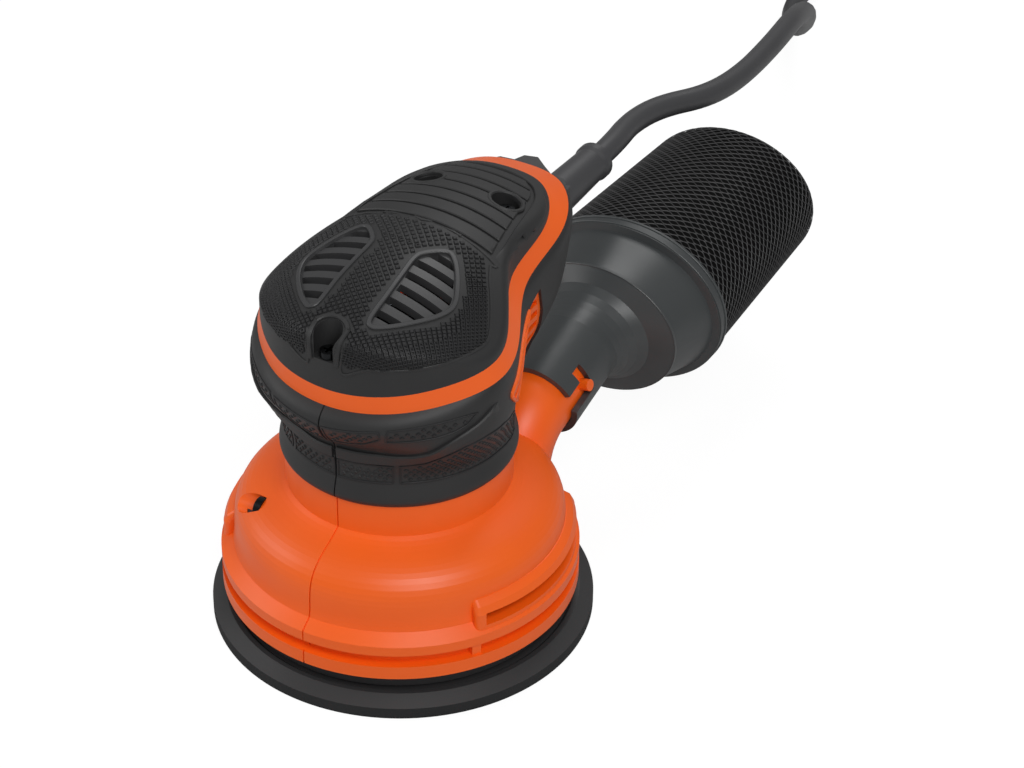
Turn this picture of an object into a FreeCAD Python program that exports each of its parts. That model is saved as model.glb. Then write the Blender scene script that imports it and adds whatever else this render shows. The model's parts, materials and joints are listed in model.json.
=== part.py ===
"""Random-orbit palm sander, 125 mm pad, with a dust canister and a mains cord.

Frame: millimetres, +Z up, origin on the motor axis at the pad's hook face,
+Y towards the cord and the dust canister, +X towards the right-hand shell.
"""
import FreeCAD, Part, Sketcher
import math
import os
from FreeCAD import Placement, Rotation, Vector

DOC = FreeCAD.newDocument("PalmSander")
SHEET = DOC.addObject("Spreadsheet::Sheet", "Sizes")

# Every driving size: alias, value in millimetres (or degrees, or a count), what it is.
DRIVING_SIZES = [
    # pad
    ("pad_diameter", 125.0, "across the hook face"),
    ("hook_thickness", 1.0, "hook fabric"),
    ("foam_thickness", 2.9, "cushion above the hooks"),
    ("plate_height", 2.5, "bevelled edge of the pad plate"),
    ("plate_bevel", 4.5, "how far the bevel leans in"),
    ("plate_floor", 1.7, "pad plate inside its rim"),
    ("dust_hole_circle", 65.0, "circle of the dust holes"),
    ("dust_hole_diameter", 10.0, "one dust hole"),
    ("dust_hole_count", 8, "dust holes"),
    ("pad_screw_circle", 25.0, "circle of the screws that hold the pad"),
    ("pad_screw_count", 4, "screws that hold the pad"),
    ("pad_screw_diameter", 4.0, "shank"),
    ("orbit_offset", 1.2, "pad axis from motor axis"),
    ("hub_height", 3.4, "pad plate's middle boss"),
    ("spindle_flange", 33.0, "diameter of the pad spindle's flange"),
    ("spindle_flange_height", 3.0, "its thickness"),
    ("spindle_diameter", 10.0, "journal in the spindle bearing"),
    ("running_clearance", 0.04, "radial, journal in bearing"),
    # rotor
    ("bearing_gap", 0.4, "flat gap under a bearing"),
    ("spindle_bearing_outer", 26.0, "bearing in the eccentric"),
    ("spindle_bearing_height", 8.0, "bearing in the eccentric"),
    ("cup_wall", 4.0, "wall of the eccentric's cup"),
    ("cup_web", 5.0, "web above the spindle bearing"),
    ("weight_radius", 31.0, "counterweight"),
    ("weight_height", 6.0, "counterweight"),
    ("shaft_diameter", 8.0, "motor shaft at its lower bearing"),
    ("shaft_core_diameter", 10.0, "motor shaft under the armature"),
    ("shaft_tip_diameter", 7.0, "motor shaft in its upper bearing"),
    ("fan_radius", 44.0, "fan"),
    ("fan_disc", 2.0, "fan disc"),
    ("fan_dust_vane", 6.0, "height of the vanes under the disc"),
    ("fan_air_vane", 6.0, "height of the vanes over the disc"),
    ("fan_vane_count", 10, "vanes on each face"),
    ("fan_vane_thickness", 1.6, "one vane"),
    ("fan_gap", 1.5, "fan to baffle"),
    ("baffle_thickness", 2.0, "baffle over the fan"),
    ("lower_bearing_outer", 22.0, "motor bearing above the fan"),
    ("lower_bearing_height", 7.0, "motor bearing above the fan"),
    ("upper_bearing_outer", 19.0, "motor bearing at the top"),
    ("upper_bearing_height", 6.0, "motor bearing at the top"),
    ("armature_radius", 17.8, "armature laminations"),
    ("armature_slots", 12, "slots in the armature"),
    ("air_gap", 0.6, "armature to field"),
    ("core_length", 26.0, "field and armature laminations"),
    ("winding_overhang", 6.0, "end turns of the armature"),
    ("coil_overhang", 4.5, "end turns of the field coils"),
    ("commutator_radius", 11.0, "commutator"),
    ("commutator_length", 12.0, "commutator"),
    ("brush_width", 6.0, "carbon brush, across the commutator"),
    ("brush_height", 8.0, "carbon brush, along the shaft"),
    ("brush_length", 11.0, "carbon brush"),
    ("holder_wall", 1.0, "brass brush holder"),
    # skirt and bell
    ("ring_bottom", 13.2, "height of the skirt's lower edge"),
    ("skirt_radius", 58.1, "skirt"),
    ("skirt_wall", 6.0, "skirt, to its inner face"),
    ("slot_bottom", 17.9, "dust slot round the skirt"),
    ("slot_top", 22.3, "dust slot round the skirt"),
    ("slot_depth", 3.7, "dust slot round the skirt"),
    ("lip_top", 25.7, "lip above the dust slot"),
    ("ledge_top", 28.7, "sloped ledge above the lip"),
    ("bell_radius", 54.1, "bell above the ledge"),
    ("bell_waist_height", 35.3, "where the bell starts to round over"),
    ("bell_knee_radius", 52.4, "bell, part way up"),
    ("bell_knee_height", 41.6, "bell, part way up"),
    ("bell_shoulder_radius", 45.6, "bell's shoulder"),
    ("bell_shoulder_height", 48.0, "bell's shoulder"),
    ("collar_wall", 2.5, "orange collar under the grip, over the motor tube"),
    ("collar_bottom", 52.6, "orange collar under the grip"),
    ("shell_wall", 2.6, "moulded shell"),
    ("seam_width", 0.5, "seam between the left and right shells"),
    ("seam_depth", 0.8, "seam between the left and right shells"),
    ("post_width", 3.0, "posts in the dust slot"),
    ("exhaust_roof", 36.5, "top of the air outlets at the sides"),
    ("exhaust_start", -34.0, "angle of the outlets' front end, from +X"),
    ("exhaust_end", 42.0, "angle of the outlets' rear end, from +X"),
    ("exhaust_slot_height", 4.6, "air outlet"),
    ("seal_gap", 0.5, "platen seal to the pad"),
    # grip and head
    ("grip_bottom", 64.2, "lower edge of the soft grip"),
    ("neck_wall", 2.6, "soft grip round the neck, over the motor tube"),
    ("tube_radius", 34.0, "outside of the motor tube"),
    ("head_tilt", 0.196, "rise of the head per unit towards the rear"),
    ("band_bottom", 109.94, "lower edge of the orange band, at the motor axis"),
    ("band_height", 5.95, "orange band"),
    ("band_radius", 44.7, "outer outline: radius of the rounded front"),
    ("band_front", 41.7, "outer outline: front"),
    ("band_waist", 29.2, "outer outline: half width at the waist"),
    ("band_back", 78.6, "outer outline: back"),
    ("rim_inset", 2.0, "band to cover, at the sides"),
    ("rim_front_inset", 0.1, "band to cover, at the front"),
    ("rim_waist_inset", 2.3, "band to cover, at the waist"),
    ("rim_back_inset", 10.5, "band to cover, at the back"),
    ("lip_radius", 44.8, "widest level of the lower head: radius of the rounded front"),
    ("lip_front", 45.2, "widest level of the lower head: front"),
    ("lip_waist", 30.7, "widest level of the lower head: half width at the waist"),
    ("lip_back", 79.4, "widest level of the lower head: back"),
    ("tail_place", 29.5, "outer outlines: where the waist ends and the tail starts, along Y"),
    ("cover_tail_place", 24.3, "cover's outline: where the tail starts, along Y"),
    ("tail_square", 2.7, "how square the tail is: 2 for an ellipse"),
    ("waist_fill", 2.25, "outlines: fullness between the round front and the waist"),
    ("head_wall", 3.0, "wall of the lower head"),
    ("cover_wall", 2.6, "palm cover"),
    ("dome_rise", 17.45, "palm cover's highest point over its seat"),
    ("dome_peak_place", 19.2, "its place along Y"),
    ("dome_rear_rise", 0.4, "cover's curve over its seat at the rear end"),
    ("dome_side_rise", 1.4, "cover's curve over its seat at the sides, beside the motor axis"),
    ("cover_fillet", 4.0, "rounded edge of the cover"),
    ("grille_sink", 0.5, "grilles lie this far below the cover"),
    ("grille_slot", 2.9, "width of a slot"),
    ("grille_pitch", 5.8, "slot to slot"),
    ("grille_slots", 6, "slots in one grille"),
    ("well_diameter", 9.0, "screw wells in the cover"),
    ("well_spacing", 28.2, "between the two rear wells"),
    ("well_place", 42.1, "rear wells along Y"),
    ("front_well_place", 38.5, "front well, ahead of the motor axis"),
    ("well_floor", 5.0, "floor of the rear wells over the cover's seat"),
    ("front_well_floor", 9.5, "floor of the front well over the cover's seat"),
    # screws
    ("shell_screw_diameter", 4.0, "screws that join the two shells"),
    ("shell_screw_head", 7.0, "their heads"),
    ("front_screw_place", 33.0, "front shell screw, ahead of the motor axis"),
    ("rear_screw_place", 24.0, "rear shell screw, behind the motor axis"),
    ("shell_screw_height", 45.6, "height"),
    ("shell_screw_seat", 30.0, "their heads' seat, left of the motor axis"),
    # switch
    ("switch_length", 28.0, "rocker boot along X"),
    ("switch_depth", 10.6, "rocker boot along Z"),
    ("switch_height", 115.0, "middle of the rocker"),
    ("switch_travel", 9.0, "rocker tilt in degrees"),
    # cord guard
    ("guard_height", 101.5, "axis of the cord guard"),
    ("guard_base", 15.0, "diameter at the tail"),
    ("guard_tip", 12.2, "diameter before the end bead"),
    ("guard_bead", 13.4, "end bead"),
    ("guard_end", 129.0, "end of the guard, along Y"),
    ("cord_diameter", 8.4, "mains cord"),
    # dust duct and canister
    ("duct_place", 15.5, "duct, collar and canister along X"),
    ("duct_radius", 12.6, "orange duct"),
    ("duct_wall", 2.0, "orange duct"),
    ("spout_tilt", 15.0, "spout rises towards the rear, degrees"),
    ("spout_place", 62.0, "collar's open end, along Y"),
    ("spout_height", 47.0, "collar's open end, height"),
    ("spout_reach", 14.0, "spout inside the collar"),
    ("peg_reach", 9.3, "peg from the collar's open end"),
    ("peg_angle", 16.0, "peg above the horizontal, degrees"),
    ("collar_bore_gap", 0.3, "spout to collar, radial"),
    ("collar_tube_wall", 2.2, "collar tube"),
    ("collar_tube_length", 25.5, "collar tube, to the funnel"),
    ("peg_diameter", 4.0, "bayonet peg on the spout"),
    ("twist_travel", 16.0, "bayonet twist, degrees"),
    ("funnel_place", 102.5, "funnel's edge, along Y"),
    ("funnel_half_width", 30.0, "funnel's edge"),
    ("funnel_half_height", 23.6, "funnel's edge"),
    ("rim_place", 127.5, "canister rim, along Y"),
    ("rim_height", 53.0, "canister axis"),
    ("rim_half_width", 37.6, "canister rim"),
    ("rim_half_height", 29.5, "canister rim"),
    ("rim_depth", 6.0, "canister rim along Y"),
    ("canister_wall", 2.0, "collar's shell"),
    ("canister_length", 86.0, "mesh cup behind the rim"),
    ("canister_taper", 0.89, "end of the mesh cup against its mouth"),
    ("cup_rounding", 9.0, "rounded end of the mesh cup"),
    ("canister_fit", 0.4, "cup inside the rim"),
    ("mesh_thickness", 1.2, "mesh cup"),
    ("frame_thickness", 2.0, "plastic frame inside the mesh"),
    ("cup_pull", 45.0, "how far the cup pulls off"),
    # cord
    ("coil_radius", 59.0, "outer radius of the coiled cord"),
    ("coil_width", 26.0, "from inner to outer radius of the coil"),
    ("coil_height", 17.0, "coiled cord on the floor"),
]


class Size:
    """A size that carries its value and the sheet expression that gives it."""

    def __init__(self, value, text):
        self.value = float(value)
        self.text = text

    def _join(self, other, sign, value):
        other = as_size(other)
        return Size(value(self.value, other.value), "(%s %s %s)" % (self.text, sign, other.text))

    def __add__(self, other):
        return self._join(other, "+", lambda a, b: a + b)

    def __sub__(self, other):
        return self._join(other, "-", lambda a, b: a - b)

    def __mul__(self, other):
        return self._join(other, "*", lambda a, b: a * b)

    def __truediv__(self, other):
        return self._join(other, "/", lambda a, b: a / b)

    def __neg__(self):
        return Size(-self.value, "(0 - %s)" % self.text)

    def __float__(self):
        return self.value


def as_size(number):
    """A plain number becomes a Size; a Size stays as it is."""
    if isinstance(number, Size):
        return number
    return Size(number, repr(float(number)))


class Sizes:
    """The sheet's cells by name: S.pad_diameter is a Size."""


def fill_sheet():
    """Write every driving size into the sheet and give its cell an alias."""
    for row, (alias, value, meaning) in enumerate(DRIVING_SIZES, start=1):
        SHEET.set("A%d" % row, alias)
        SHEET.set("B%d" % row, str(value))
        SHEET.set("C%d" % row, meaning)
        SHEET.setAlias("B%d" % row, alias)
    DOC.recompute()
    for alias, _, _ in DRIVING_SIZES:
        setattr(Sizes, alias, Size(SHEET.get(alias), "Sizes." + alias))


fill_sheet()
S = Sizes
SUB_PARTS = []


# ---------------------------------------------------------------- helpers

def bind(target, name, size):
    """Tie a property to the sheet."""
    target.setExpression(name, as_size(size).text)


def place(target, x=0, y=0, z=0, axis=None, angle=0.0):
    """Turn a sub-part about an axis by an angle, and tie its position to the sheet."""
    if axis is not None:
        target.Placement = Placement(Vector(), Rotation(axis, angle))
    for name, size in (("x", x), ("y", y), ("z", z)):
        bind(target, "Placement.Base." + name, size)


def origin_plane(body, role):
    """One of a body's own origin planes."""
    return next(item for item in body.Origin.OriginFeatures if item.Role == role)


def new_sketch(body, role, name):
    """An empty sketch on one of the body's origin planes."""
    sketch = body.newObject("Sketcher::SketchObject", name)
    sketch.AttachmentSupport = (origin_plane(body, role), [""])
    sketch.MapMode = "FlatFace"
    return sketch


def fix_point(sketch, line, x, y):
    """Tie the start of a sketch line to two sizes from the sketch's origin."""
    for kind, axis, size in (("DistanceX", -2, as_size(x)), ("DistanceY", -1, as_size(y))):
        if size.value == 0.0:
            sketch.addConstraint(Sketcher.Constraint("PointOnObject", line, 1, axis))
            continue
        number = sketch.addConstraint(Sketcher.Constraint(kind, -1, 1, line, 1, size.value))
        sketch.setExpression("Constraints[%d]" % number, size.text)


def draw_polygon(sketch, points):
    """A closed polygon whose corners are tied to the sheet."""
    corners = [Vector(float(as_size(x)), float(as_size(y)), 0) for x, y in points]
    count = len(corners)
    for index in range(count):
        sketch.addGeometry(Part.LineSegment(corners[index], corners[(index + 1) % count]), False)
    for index in range(count):
        sketch.addConstraint(Sketcher.Constraint("Coincident", index, 2, (index + 1) % count, 1))
    for index, (x, y) in enumerate(points):
        fix_point(sketch, index, x, y)


def turned(label, profile):
    """A body of revolution about its own Z axis, from (radius, height) corners."""
    body = DOC.addObject("PartDesign::Body", label)
    sketch = new_sketch(body, "XZ_Plane", label + "_profile")
    draw_polygon(sketch, profile)
    turn = body.newObject("PartDesign::Revolution", label + "_turn")
    turn.Profile = sketch
    turn.ReferenceAxis = (sketch, ["V_Axis"])
    turn.Angle = 360.0
    sketch.Visibility = False
    body.Label = label
    SUB_PARTS.append(body)
    return body


def drill_circle(body, circle_radius, hole_radius, count, start_height, depth):
    """A ring of equal holes along Z, cut upwards from a height."""
    name = "%s_holes_%d" % (body.Name, len(body.Group))
    sketch = new_sketch(body, "XY_Plane", name)
    bind(sketch, "AttachmentOffset.Base.z", start_height)
    radius, ring = as_size(hole_radius), as_size(circle_radius)
    sketch.addGeometry(Part.Circle(Vector(0, ring.value, 0), Vector(0, 0, 1), radius.value), False)
    number = sketch.addConstraint(Sketcher.Constraint("Radius", 0, radius.value))
    sketch.setExpression("Constraints[%d]" % number, radius.text)
    sketch.addConstraint(Sketcher.Constraint("PointOnObject", 0, 3, -2))
    number = sketch.addConstraint(Sketcher.Constraint("DistanceY", -1, 1, 0, 3, ring.value))
    sketch.setExpression("Constraints[%d]" % number, ring.text)
    pocket = body.newObject("PartDesign::Pocket", name + "_cut")
    pocket.Profile = sketch
    pocket.Type = 0
    pocket.Reversed = True
    bind(pocket, "Length", depth)
    repeat(body, pocket, count)


def repeat(body, feature, count):
    """Repeat a feature round the body's Z axis."""
    pattern = body.newObject("PartDesign::PolarPattern", feature.Name + "_ring")
    pattern.Originals = [feature]
    pattern.Axis = (next(a for a in body.Origin.OriginFeatures if a.Role == "Z_Axis"), [""])
    pattern.Angle = 360.0
    bind(pattern, "Occurrences", count)
    body.Tip = pattern


def cut_slots(body, inner, outer, width, count, start_height, depth):
    """A ring of equal radial slots along Z, cut upwards from a height."""
    name = "%s_slots_%d" % (body.Name, len(body.Group))
    sketch = new_sketch(body, "XY_Plane", name)
    bind(sketch, "AttachmentOffset.Base.z", start_height)
    half = as_size(width) / 2
    draw_polygon(sketch, [(-half, inner), (half, inner), (half, outer), (-half, outer)])
    pocket = body.newObject("PartDesign::Pocket", name + "_cut")
    pocket.Profile = sketch
    pocket.Type = 0
    pocket.Reversed = True
    bind(pocket, "Length", depth)
    repeat(body, pocket, count)


def formed(label, shape):
    """A sub-part whose shape is built with Part's own functions."""
    feature = DOC.addObject("Part::Feature", label)
    feature.Shape = shape
    feature.Label = label
    feature.Placement = shape.Placement
    SUB_PARTS.append(feature)
    return feature


def cylinder(radius, height, base=Vector(), direction=Vector(0, 0, 1), angle=360.0):
    """A cylinder, or a sector of one, from Sizes or numbers."""
    return Part.makeCylinder(float(radius), float(height), base, direction, angle)


def box(x0, x1, y0, y1, z0, z1):
    """A box between two corners."""
    low = Vector(float(x0), float(y0), float(z0))
    return Part.makeBox(float(x1) - low.x, float(y1) - low.y, float(z1) - low.z, low)


def revolved(profile):
    """A solid of revolution about Z from (radius, height) corners."""
    points = [Vector(float(r), 0, float(z)) for r, z in profile]
    face = Part.Face(Part.makePolygon(points + points[:1]))
    return face.revolve(Vector(), Vector(0, 0, 1), 360)


def sector(inner, outer, bottom, top, start, end):
    """A slice of a ring about Z, between two angles from +X."""
    span = float(end) - float(start)
    ring = cylinder(outer, float(top) - float(bottom), angle=span)
    ring = ring.cut(cylinder(inner, float(top) - float(bottom), angle=360.0))
    ring.rotate(Vector(), Vector(0, 0, 1), float(start))
    ring.translate(Vector(0, 0, float(bottom)))
    return ring


def mirrored(shape):
    """The shape on the other side of the plane X = 0."""
    return shape.mirror(Vector(), Vector(1, 0, 0))


def smooth_loop(points):
    """A closed smooth wire through the points."""
    curve = Part.BSplineCurve()
    curve.interpolate(Points=points, PeriodicFlag=True)
    return Part.Wire([curve.toShape()])


def only_solid(shape):
    """The shape's single solid, without the compound round it."""
    if len(shape.Solids) != 1:
        raise ValueError("expected one solid, found %d" % len(shape.Solids))
    return shape.Solids[0]


# ---------------------------------------------------------------- heights that pieces share

PAD_RADIUS = S.pad_diameter / 2
PLATE_BOTTOM = S.hook_thickness + S.foam_thickness
PLATE_TOP = PLATE_BOTTOM + S.plate_height
HUB_TOP = PLATE_BOTTOM + S.hub_height
FLANGE_TOP = HUB_TOP + S.spindle_flange_height
SPINDLE_BEARING_BOTTOM = FLANGE_TOP + S.bearing_gap * 3
SPINDLE_BEARING_TOP = SPINDLE_BEARING_BOTTOM + S.spindle_bearing_height
CUP_TOP = SPINDLE_BEARING_TOP + S.cup_web
SHAFT_BOTTOM = SPINDLE_BEARING_TOP + S.bearing_gap
FAN_BOTTOM = CUP_TOP + S.bearing_gap / 4
FAN_DISC_BOTTOM = FAN_BOTTOM + S.fan_dust_vane
FAN_DISC_TOP = FAN_DISC_BOTTOM + S.fan_disc
FAN_TOP = FAN_DISC_TOP + S.fan_air_vane
BAFFLE_BOTTOM = FAN_TOP + S.fan_gap
BAFFLE_TOP = BAFFLE_BOTTOM + S.baffle_thickness
LOWER_BEARING_BOTTOM = BAFFLE_TOP + S.bearing_gap * 5
LOWER_BEARING_TOP = LOWER_BEARING_BOTTOM + S.lower_bearing_height
CORE_BOTTOM = LOWER_BEARING_TOP + S.winding_overhang
CORE_TOP = CORE_BOTTOM + S.core_length
COMMUTATOR_BOTTOM = CORE_TOP + S.winding_overhang + S.bearing_gap
COMMUTATOR_TOP = COMMUTATOR_BOTTOM + S.commutator_length
BRUSH_MIDDLE = COMMUTATOR_BOTTOM + S.commutator_length / 2 + S.bearing_gap
PLATE_LEVEL = BRUSH_MIDDLE - S.brush_height / 2 - S.holder_wall
END_PLATE = S.shell_wall
UPPER_BEARING_BOTTOM = COMMUTATOR_TOP + S.bearing_gap * 6
UPPER_BEARING_TOP = UPPER_BEARING_BOTTOM + S.upper_bearing_height
MOTOR_BORE = S.tube_radius - S.shell_wall
NECK_RADIUS = S.tube_radius + S.neck_wall
COLLAR_RADIUS = S.tube_radius + S.collar_wall
SHAFT_RADIUS = S.shaft_diameter / 2


# ---------------------------------------------------------------- pad

def pad_pieces():
    """Hook fabric, foam, plate, spindle and screws; they orbit on the pad's own axis."""
    ring = S.dust_hole_circle / 2
    hole = S.dust_hole_diameter / 2
    screw_ring = S.pad_screw_circle / 2
    head = S.pad_screw_diameter * 0.9
    shank = S.pad_screw_diameter / 2

    hooks = turned("hook_layer", [(0, 0), (PAD_RADIUS, 0), (PAD_RADIUS, S.hook_thickness),
                                  (0, S.hook_thickness)])
    drill_circle(hooks, ring, hole, S.dust_hole_count, 0, S.hook_thickness)
    drill_circle(hooks, screw_ring, head + 0.4, S.pad_screw_count, 0, S.hook_thickness)
    place(hooks, y=S.orbit_offset)

    foam = turned("pad_foam", [(0, 0), (PAD_RADIUS, 0), (PAD_RADIUS, S.foam_thickness),
                               (0, S.foam_thickness)])
    drill_circle(foam, ring, hole, S.dust_hole_count, 0, S.foam_thickness)
    drill_circle(foam, screw_ring, head + 0.4, S.pad_screw_count, 0, S.foam_thickness)
    place(foam, y=S.orbit_offset, z=S.hook_thickness)

    top = PAD_RADIUS - S.plate_bevel
    rim = top - 1.6
    boss = S.spindle_flange / 2 + 1.5
    plate = turned("pad_plate", [
        (0, 0), (PAD_RADIUS, 0), (top, S.plate_height), (rim, S.plate_height),
        (rim - 1, S.plate_floor), (boss + 1.5, S.plate_floor), (boss, S.hub_height),
        (0, S.hub_height)])
    drill_circle(plate, ring, hole, S.dust_hole_count, 0, S.plate_floor)
    drill_circle(plate, screw_ring, shank, S.pad_screw_count, 0, S.hub_height)
    place(plate, y=S.orbit_offset, z=PLATE_BOTTOM)

    journal = S.spindle_diameter / 2
    reach = S.spindle_flange_height + S.bearing_gap * 3
    spindle = turned("pad_spindle", [
        (0, 0), (S.spindle_flange / 2, 0), (S.spindle_flange / 2, S.spindle_flange_height),
        (journal + 2, S.spindle_flange_height), (journal + 2, reach - S.bearing_gap / 2),
        (journal, reach - S.bearing_gap / 2),
        (journal, reach + S.spindle_bearing_height - S.bearing_gap),
        (0, reach + S.spindle_bearing_height - S.bearing_gap)])
    drill_circle(spindle, screw_ring, shank, S.pad_screw_count, 0, S.spindle_flange_height)
    place(spindle, y=S.orbit_offset, z=HUB_TOP)

    screws = []
    for index in range(int(float(S.pad_screw_count))):
        angle = math.radians(90 + index * 360 / float(S.pad_screw_count))
        spot = Vector(float(screw_ring) * math.cos(angle),
                      float(S.orbit_offset) + float(screw_ring) * math.sin(angle), 0)
        head_height = S.pad_screw_diameter / 2
        low = spot + Vector(0, 0, float(PLATE_BOTTOM - head_height))
        seat = spot + Vector(0, 0, float(PLATE_BOTTOM))
        reach_up = S.hub_height + S.spindle_flange_height - 0.5
        pan = cylinder(head, head_height, low)
        cross = head * 1.2
        slot = box(-float(cross) / 2, float(cross) / 2, -0.5, 0.5, 0, 1.0)
        slot.translate(low)
        screws.append(only_solid(pan.fuse(cylinder(shank, reach_up, seat)).cut(slot).removeSplitter()))
    formed("pad_screws", Part.makeCompound(screws))


# ---------------------------------------------------------------- rotor

def eccentric():
    """Cup that carries the spindle bearing off the motor axis, with its counterweight."""
    outer = S.spindle_bearing_outer / 2 + S.cup_wall
    low = SPINDLE_BEARING_BOTTOM - S.bearing_gap / 2
    cup = cylinder(outer, CUP_TOP - low, Vector(0, 0, float(low)))
    seat = Vector(0, float(S.orbit_offset), float(low) - 1)
    hollow = cylinder(S.spindle_bearing_outer / 2, SPINDLE_BEARING_TOP - low + 1, seat)
    weight = sector(outer - 1, S.weight_radius, low, low + S.weight_height, 205, 335)
    lightening = sector(outer + 3, S.weight_radius - 3, low + 3, low + S.weight_height, 255, 285)
    body = cup.fuse(weight.cut(lightening)).cut(hollow)
    body = body.cut(cylinder(SHAFT_RADIUS, S.cup_web * 3, Vector(0, 0, float(SHAFT_BOTTOM))))
    return only_solid(body.removeSplitter())


def bearing(label, outer, bore, height, y, z):
    """A shielded ball bearing: race rings with the shields set back between them."""
    outer_land = outer * 0.86
    inner_land = bore + (outer - bore) * 0.3
    sink = height * 0.07
    piece = turned(label, [
        (bore, 0), (inner_land, 0), (inner_land, sink), (outer_land, sink), (outer_land, 0),
        (outer, 0), (outer, height), (outer_land, height), (outer_land, height - sink),
        (inner_land, height - sink), (inner_land, height), (bore, height)])
    place(piece, y=y, z=z)


def fan():
    """Fan on the shaft: dust vanes under the disc and air vanes over it."""
    hub = SHAFT_RADIUS + 5
    blank = revolved([(SHAFT_RADIUS, FAN_BOTTOM), (hub, FAN_BOTTOM), (hub, FAN_DISC_BOTTOM),
                      (S.fan_radius, FAN_DISC_BOTTOM), (S.fan_radius, FAN_DISC_TOP),
                      (hub, FAN_DISC_TOP), (hub, FAN_TOP), (SHAFT_RADIUS, FAN_TOP)])
    half = S.fan_vane_thickness / 2
    inner = S.spindle_bearing_outer / 2 + S.cup_wall + 4
    dust = curved_vane(inner, S.fan_radius - 1, half, FAN_BOTTOM, FAN_DISC_BOTTOM)
    air = curved_vane(inner + 4, S.fan_radius - 1, half, FAN_DISC_TOP, FAN_TOP)
    vanes = []
    count = int(float(S.fan_vane_count))
    for index in range(count):
        for vane in (dust, air):
            copy = vane.copy()
            copy.rotate(Vector(), Vector(0, 0, 1), index * 360.0 / count)
            vanes.append(copy)
    return only_solid(blank.fuse(vanes).removeSplitter())


def curved_vane(inner, outer, half, bottom, top):
    """A backward-curved vane: a slice of a thin tube."""
    span = float(outer) - float(inner)
    radius = span * 1.2
    height = float(top) - float(bottom)
    centre = Vector((float(outer) + float(inner)) / 2, -radius * 0.9, float(bottom))
    tube = cylinder(radius + float(half), height, centre)
    tube = tube.cut(cylinder(radius - float(half), height, centre))
    keep = sector(inner, outer, bottom, top, -30, 60)
    return only_solid(tube.common(keep))


def motor_shaft():
    """Shaft from the eccentric to the upper bearing."""
    core = S.shaft_core_diameter / 2
    tip = S.shaft_tip_diameter / 2
    shoulder = LOWER_BEARING_TOP + S.bearing_gap / 4
    upper = UPPER_BEARING_BOTTOM - S.bearing_gap / 4
    shaft = turned("motor_shaft", [
        (0, SHAFT_BOTTOM), (SHAFT_RADIUS, SHAFT_BOTTOM), (SHAFT_RADIUS, shoulder),
        (core, shoulder), (core, COMMUTATOR_TOP), (SHAFT_RADIUS, COMMUTATOR_TOP),
        (SHAFT_RADIUS, upper), (tip, upper), (tip, UPPER_BEARING_TOP + 0.6),
        (0, UPPER_BEARING_TOP + 0.6)])
    place(shaft)


def armature():
    """Slotted laminations, the winding in the slots and its end turns, and the commutator."""
    core = S.shaft_core_diameter / 2
    slot_floor = S.armature_radius * 0.6
    stack = turned("armature_core", [(core, 0), (S.armature_radius, 0),
                                     (S.armature_radius, S.core_length), (core, S.core_length)])
    cut_slots(stack, slot_floor, S.armature_radius + 1, 3.2, S.armature_slots, 0, S.core_length)
    place(stack, z=CORE_BOTTOM)

    crown = S.armature_radius - 1.5
    ends = revolved([(core, CORE_BOTTOM - S.winding_overhang + 0.5), (crown - 3, CORE_BOTTOM - S.winding_overhang + 0.5),
                     (crown, CORE_BOTTOM - S.winding_overhang / 2), (crown, CORE_BOTTOM), (core, CORE_BOTTOM)])
    top_ends = revolved([(core, CORE_TOP), (crown, CORE_TOP), (crown, CORE_TOP + S.winding_overhang / 2),
                         (crown - 3, CORE_TOP + S.winding_overhang - 1.5),
                         (core, CORE_TOP + S.winding_overhang - 1.5)])
    bars = []
    count = int(float(S.armature_slots))
    for index in range(count):
        bar = box(-1.6, 1.6, slot_floor, crown, CORE_BOTTOM - 0.5, CORE_TOP + 0.5)
        bar.rotate(Vector(), Vector(0, 0, 1), index * 360.0 / count)
        bars.append(bar)
    formed("armature_winding", only_solid(ends.fuse([top_ends] + bars).removeSplitter()))

    drum = turned("commutator", [
        (core, 0), (S.commutator_radius + 1.2, 0), (S.commutator_radius + 1.2, 1.5),
        (S.commutator_radius, 1.5), (S.commutator_radius, S.commutator_length),
        (core, S.commutator_length)])
    cut_slots(drum, S.commutator_radius - 0.6, S.commutator_radius + 2, 0.5, S.armature_slots, 0,
              S.commutator_length)
    place(drum, z=COMMUTATOR_BOTTOM)


# ---------------------------------------------------------------- motor parts in the housing

def field():
    """Two-pole field laminations and the two saddle coils round the poles."""
    bore = S.armature_radius + S.air_gap
    yoke = MOTOR_BORE - 0.1
    yoke_inner = yoke - 3.8
    ring = revolved([(yoke_inner, CORE_BOTTOM), (yoke, CORE_BOTTOM), (yoke, CORE_TOP), (yoke_inner, CORE_TOP)])
    pole = sector(bore, yoke_inner + 0.5, CORE_BOTTOM, CORE_TOP, -44, 44)
    notch = sector(bore + 2.4, yoke_inner, CORE_BOTTOM - 1, CORE_TOP + 1, 34, 46)
    pole = pole.cut([notch, notch.mirror(Vector(), Vector(0, 1, 0))])
    core = ring.fuse([pole, mirrored(pole)])
    formed("field_core", only_solid(core.removeSplitter()))

    low = CORE_BOTTOM - S.coil_overhang
    high = CORE_TOP + S.coil_overhang
    loop = sector(bore + 2.6, yoke_inner - 0.2, low, high, -54, 54)
    window = sector(bore, yoke_inner + 1, CORE_BOTTOM - 0.2, CORE_TOP + 0.2, -34.6, 34.6)
    coil = only_solid(loop.cut(window))
    formed("field_coils", Part.makeCompound([coil, mirrored(coil)]))


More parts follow.
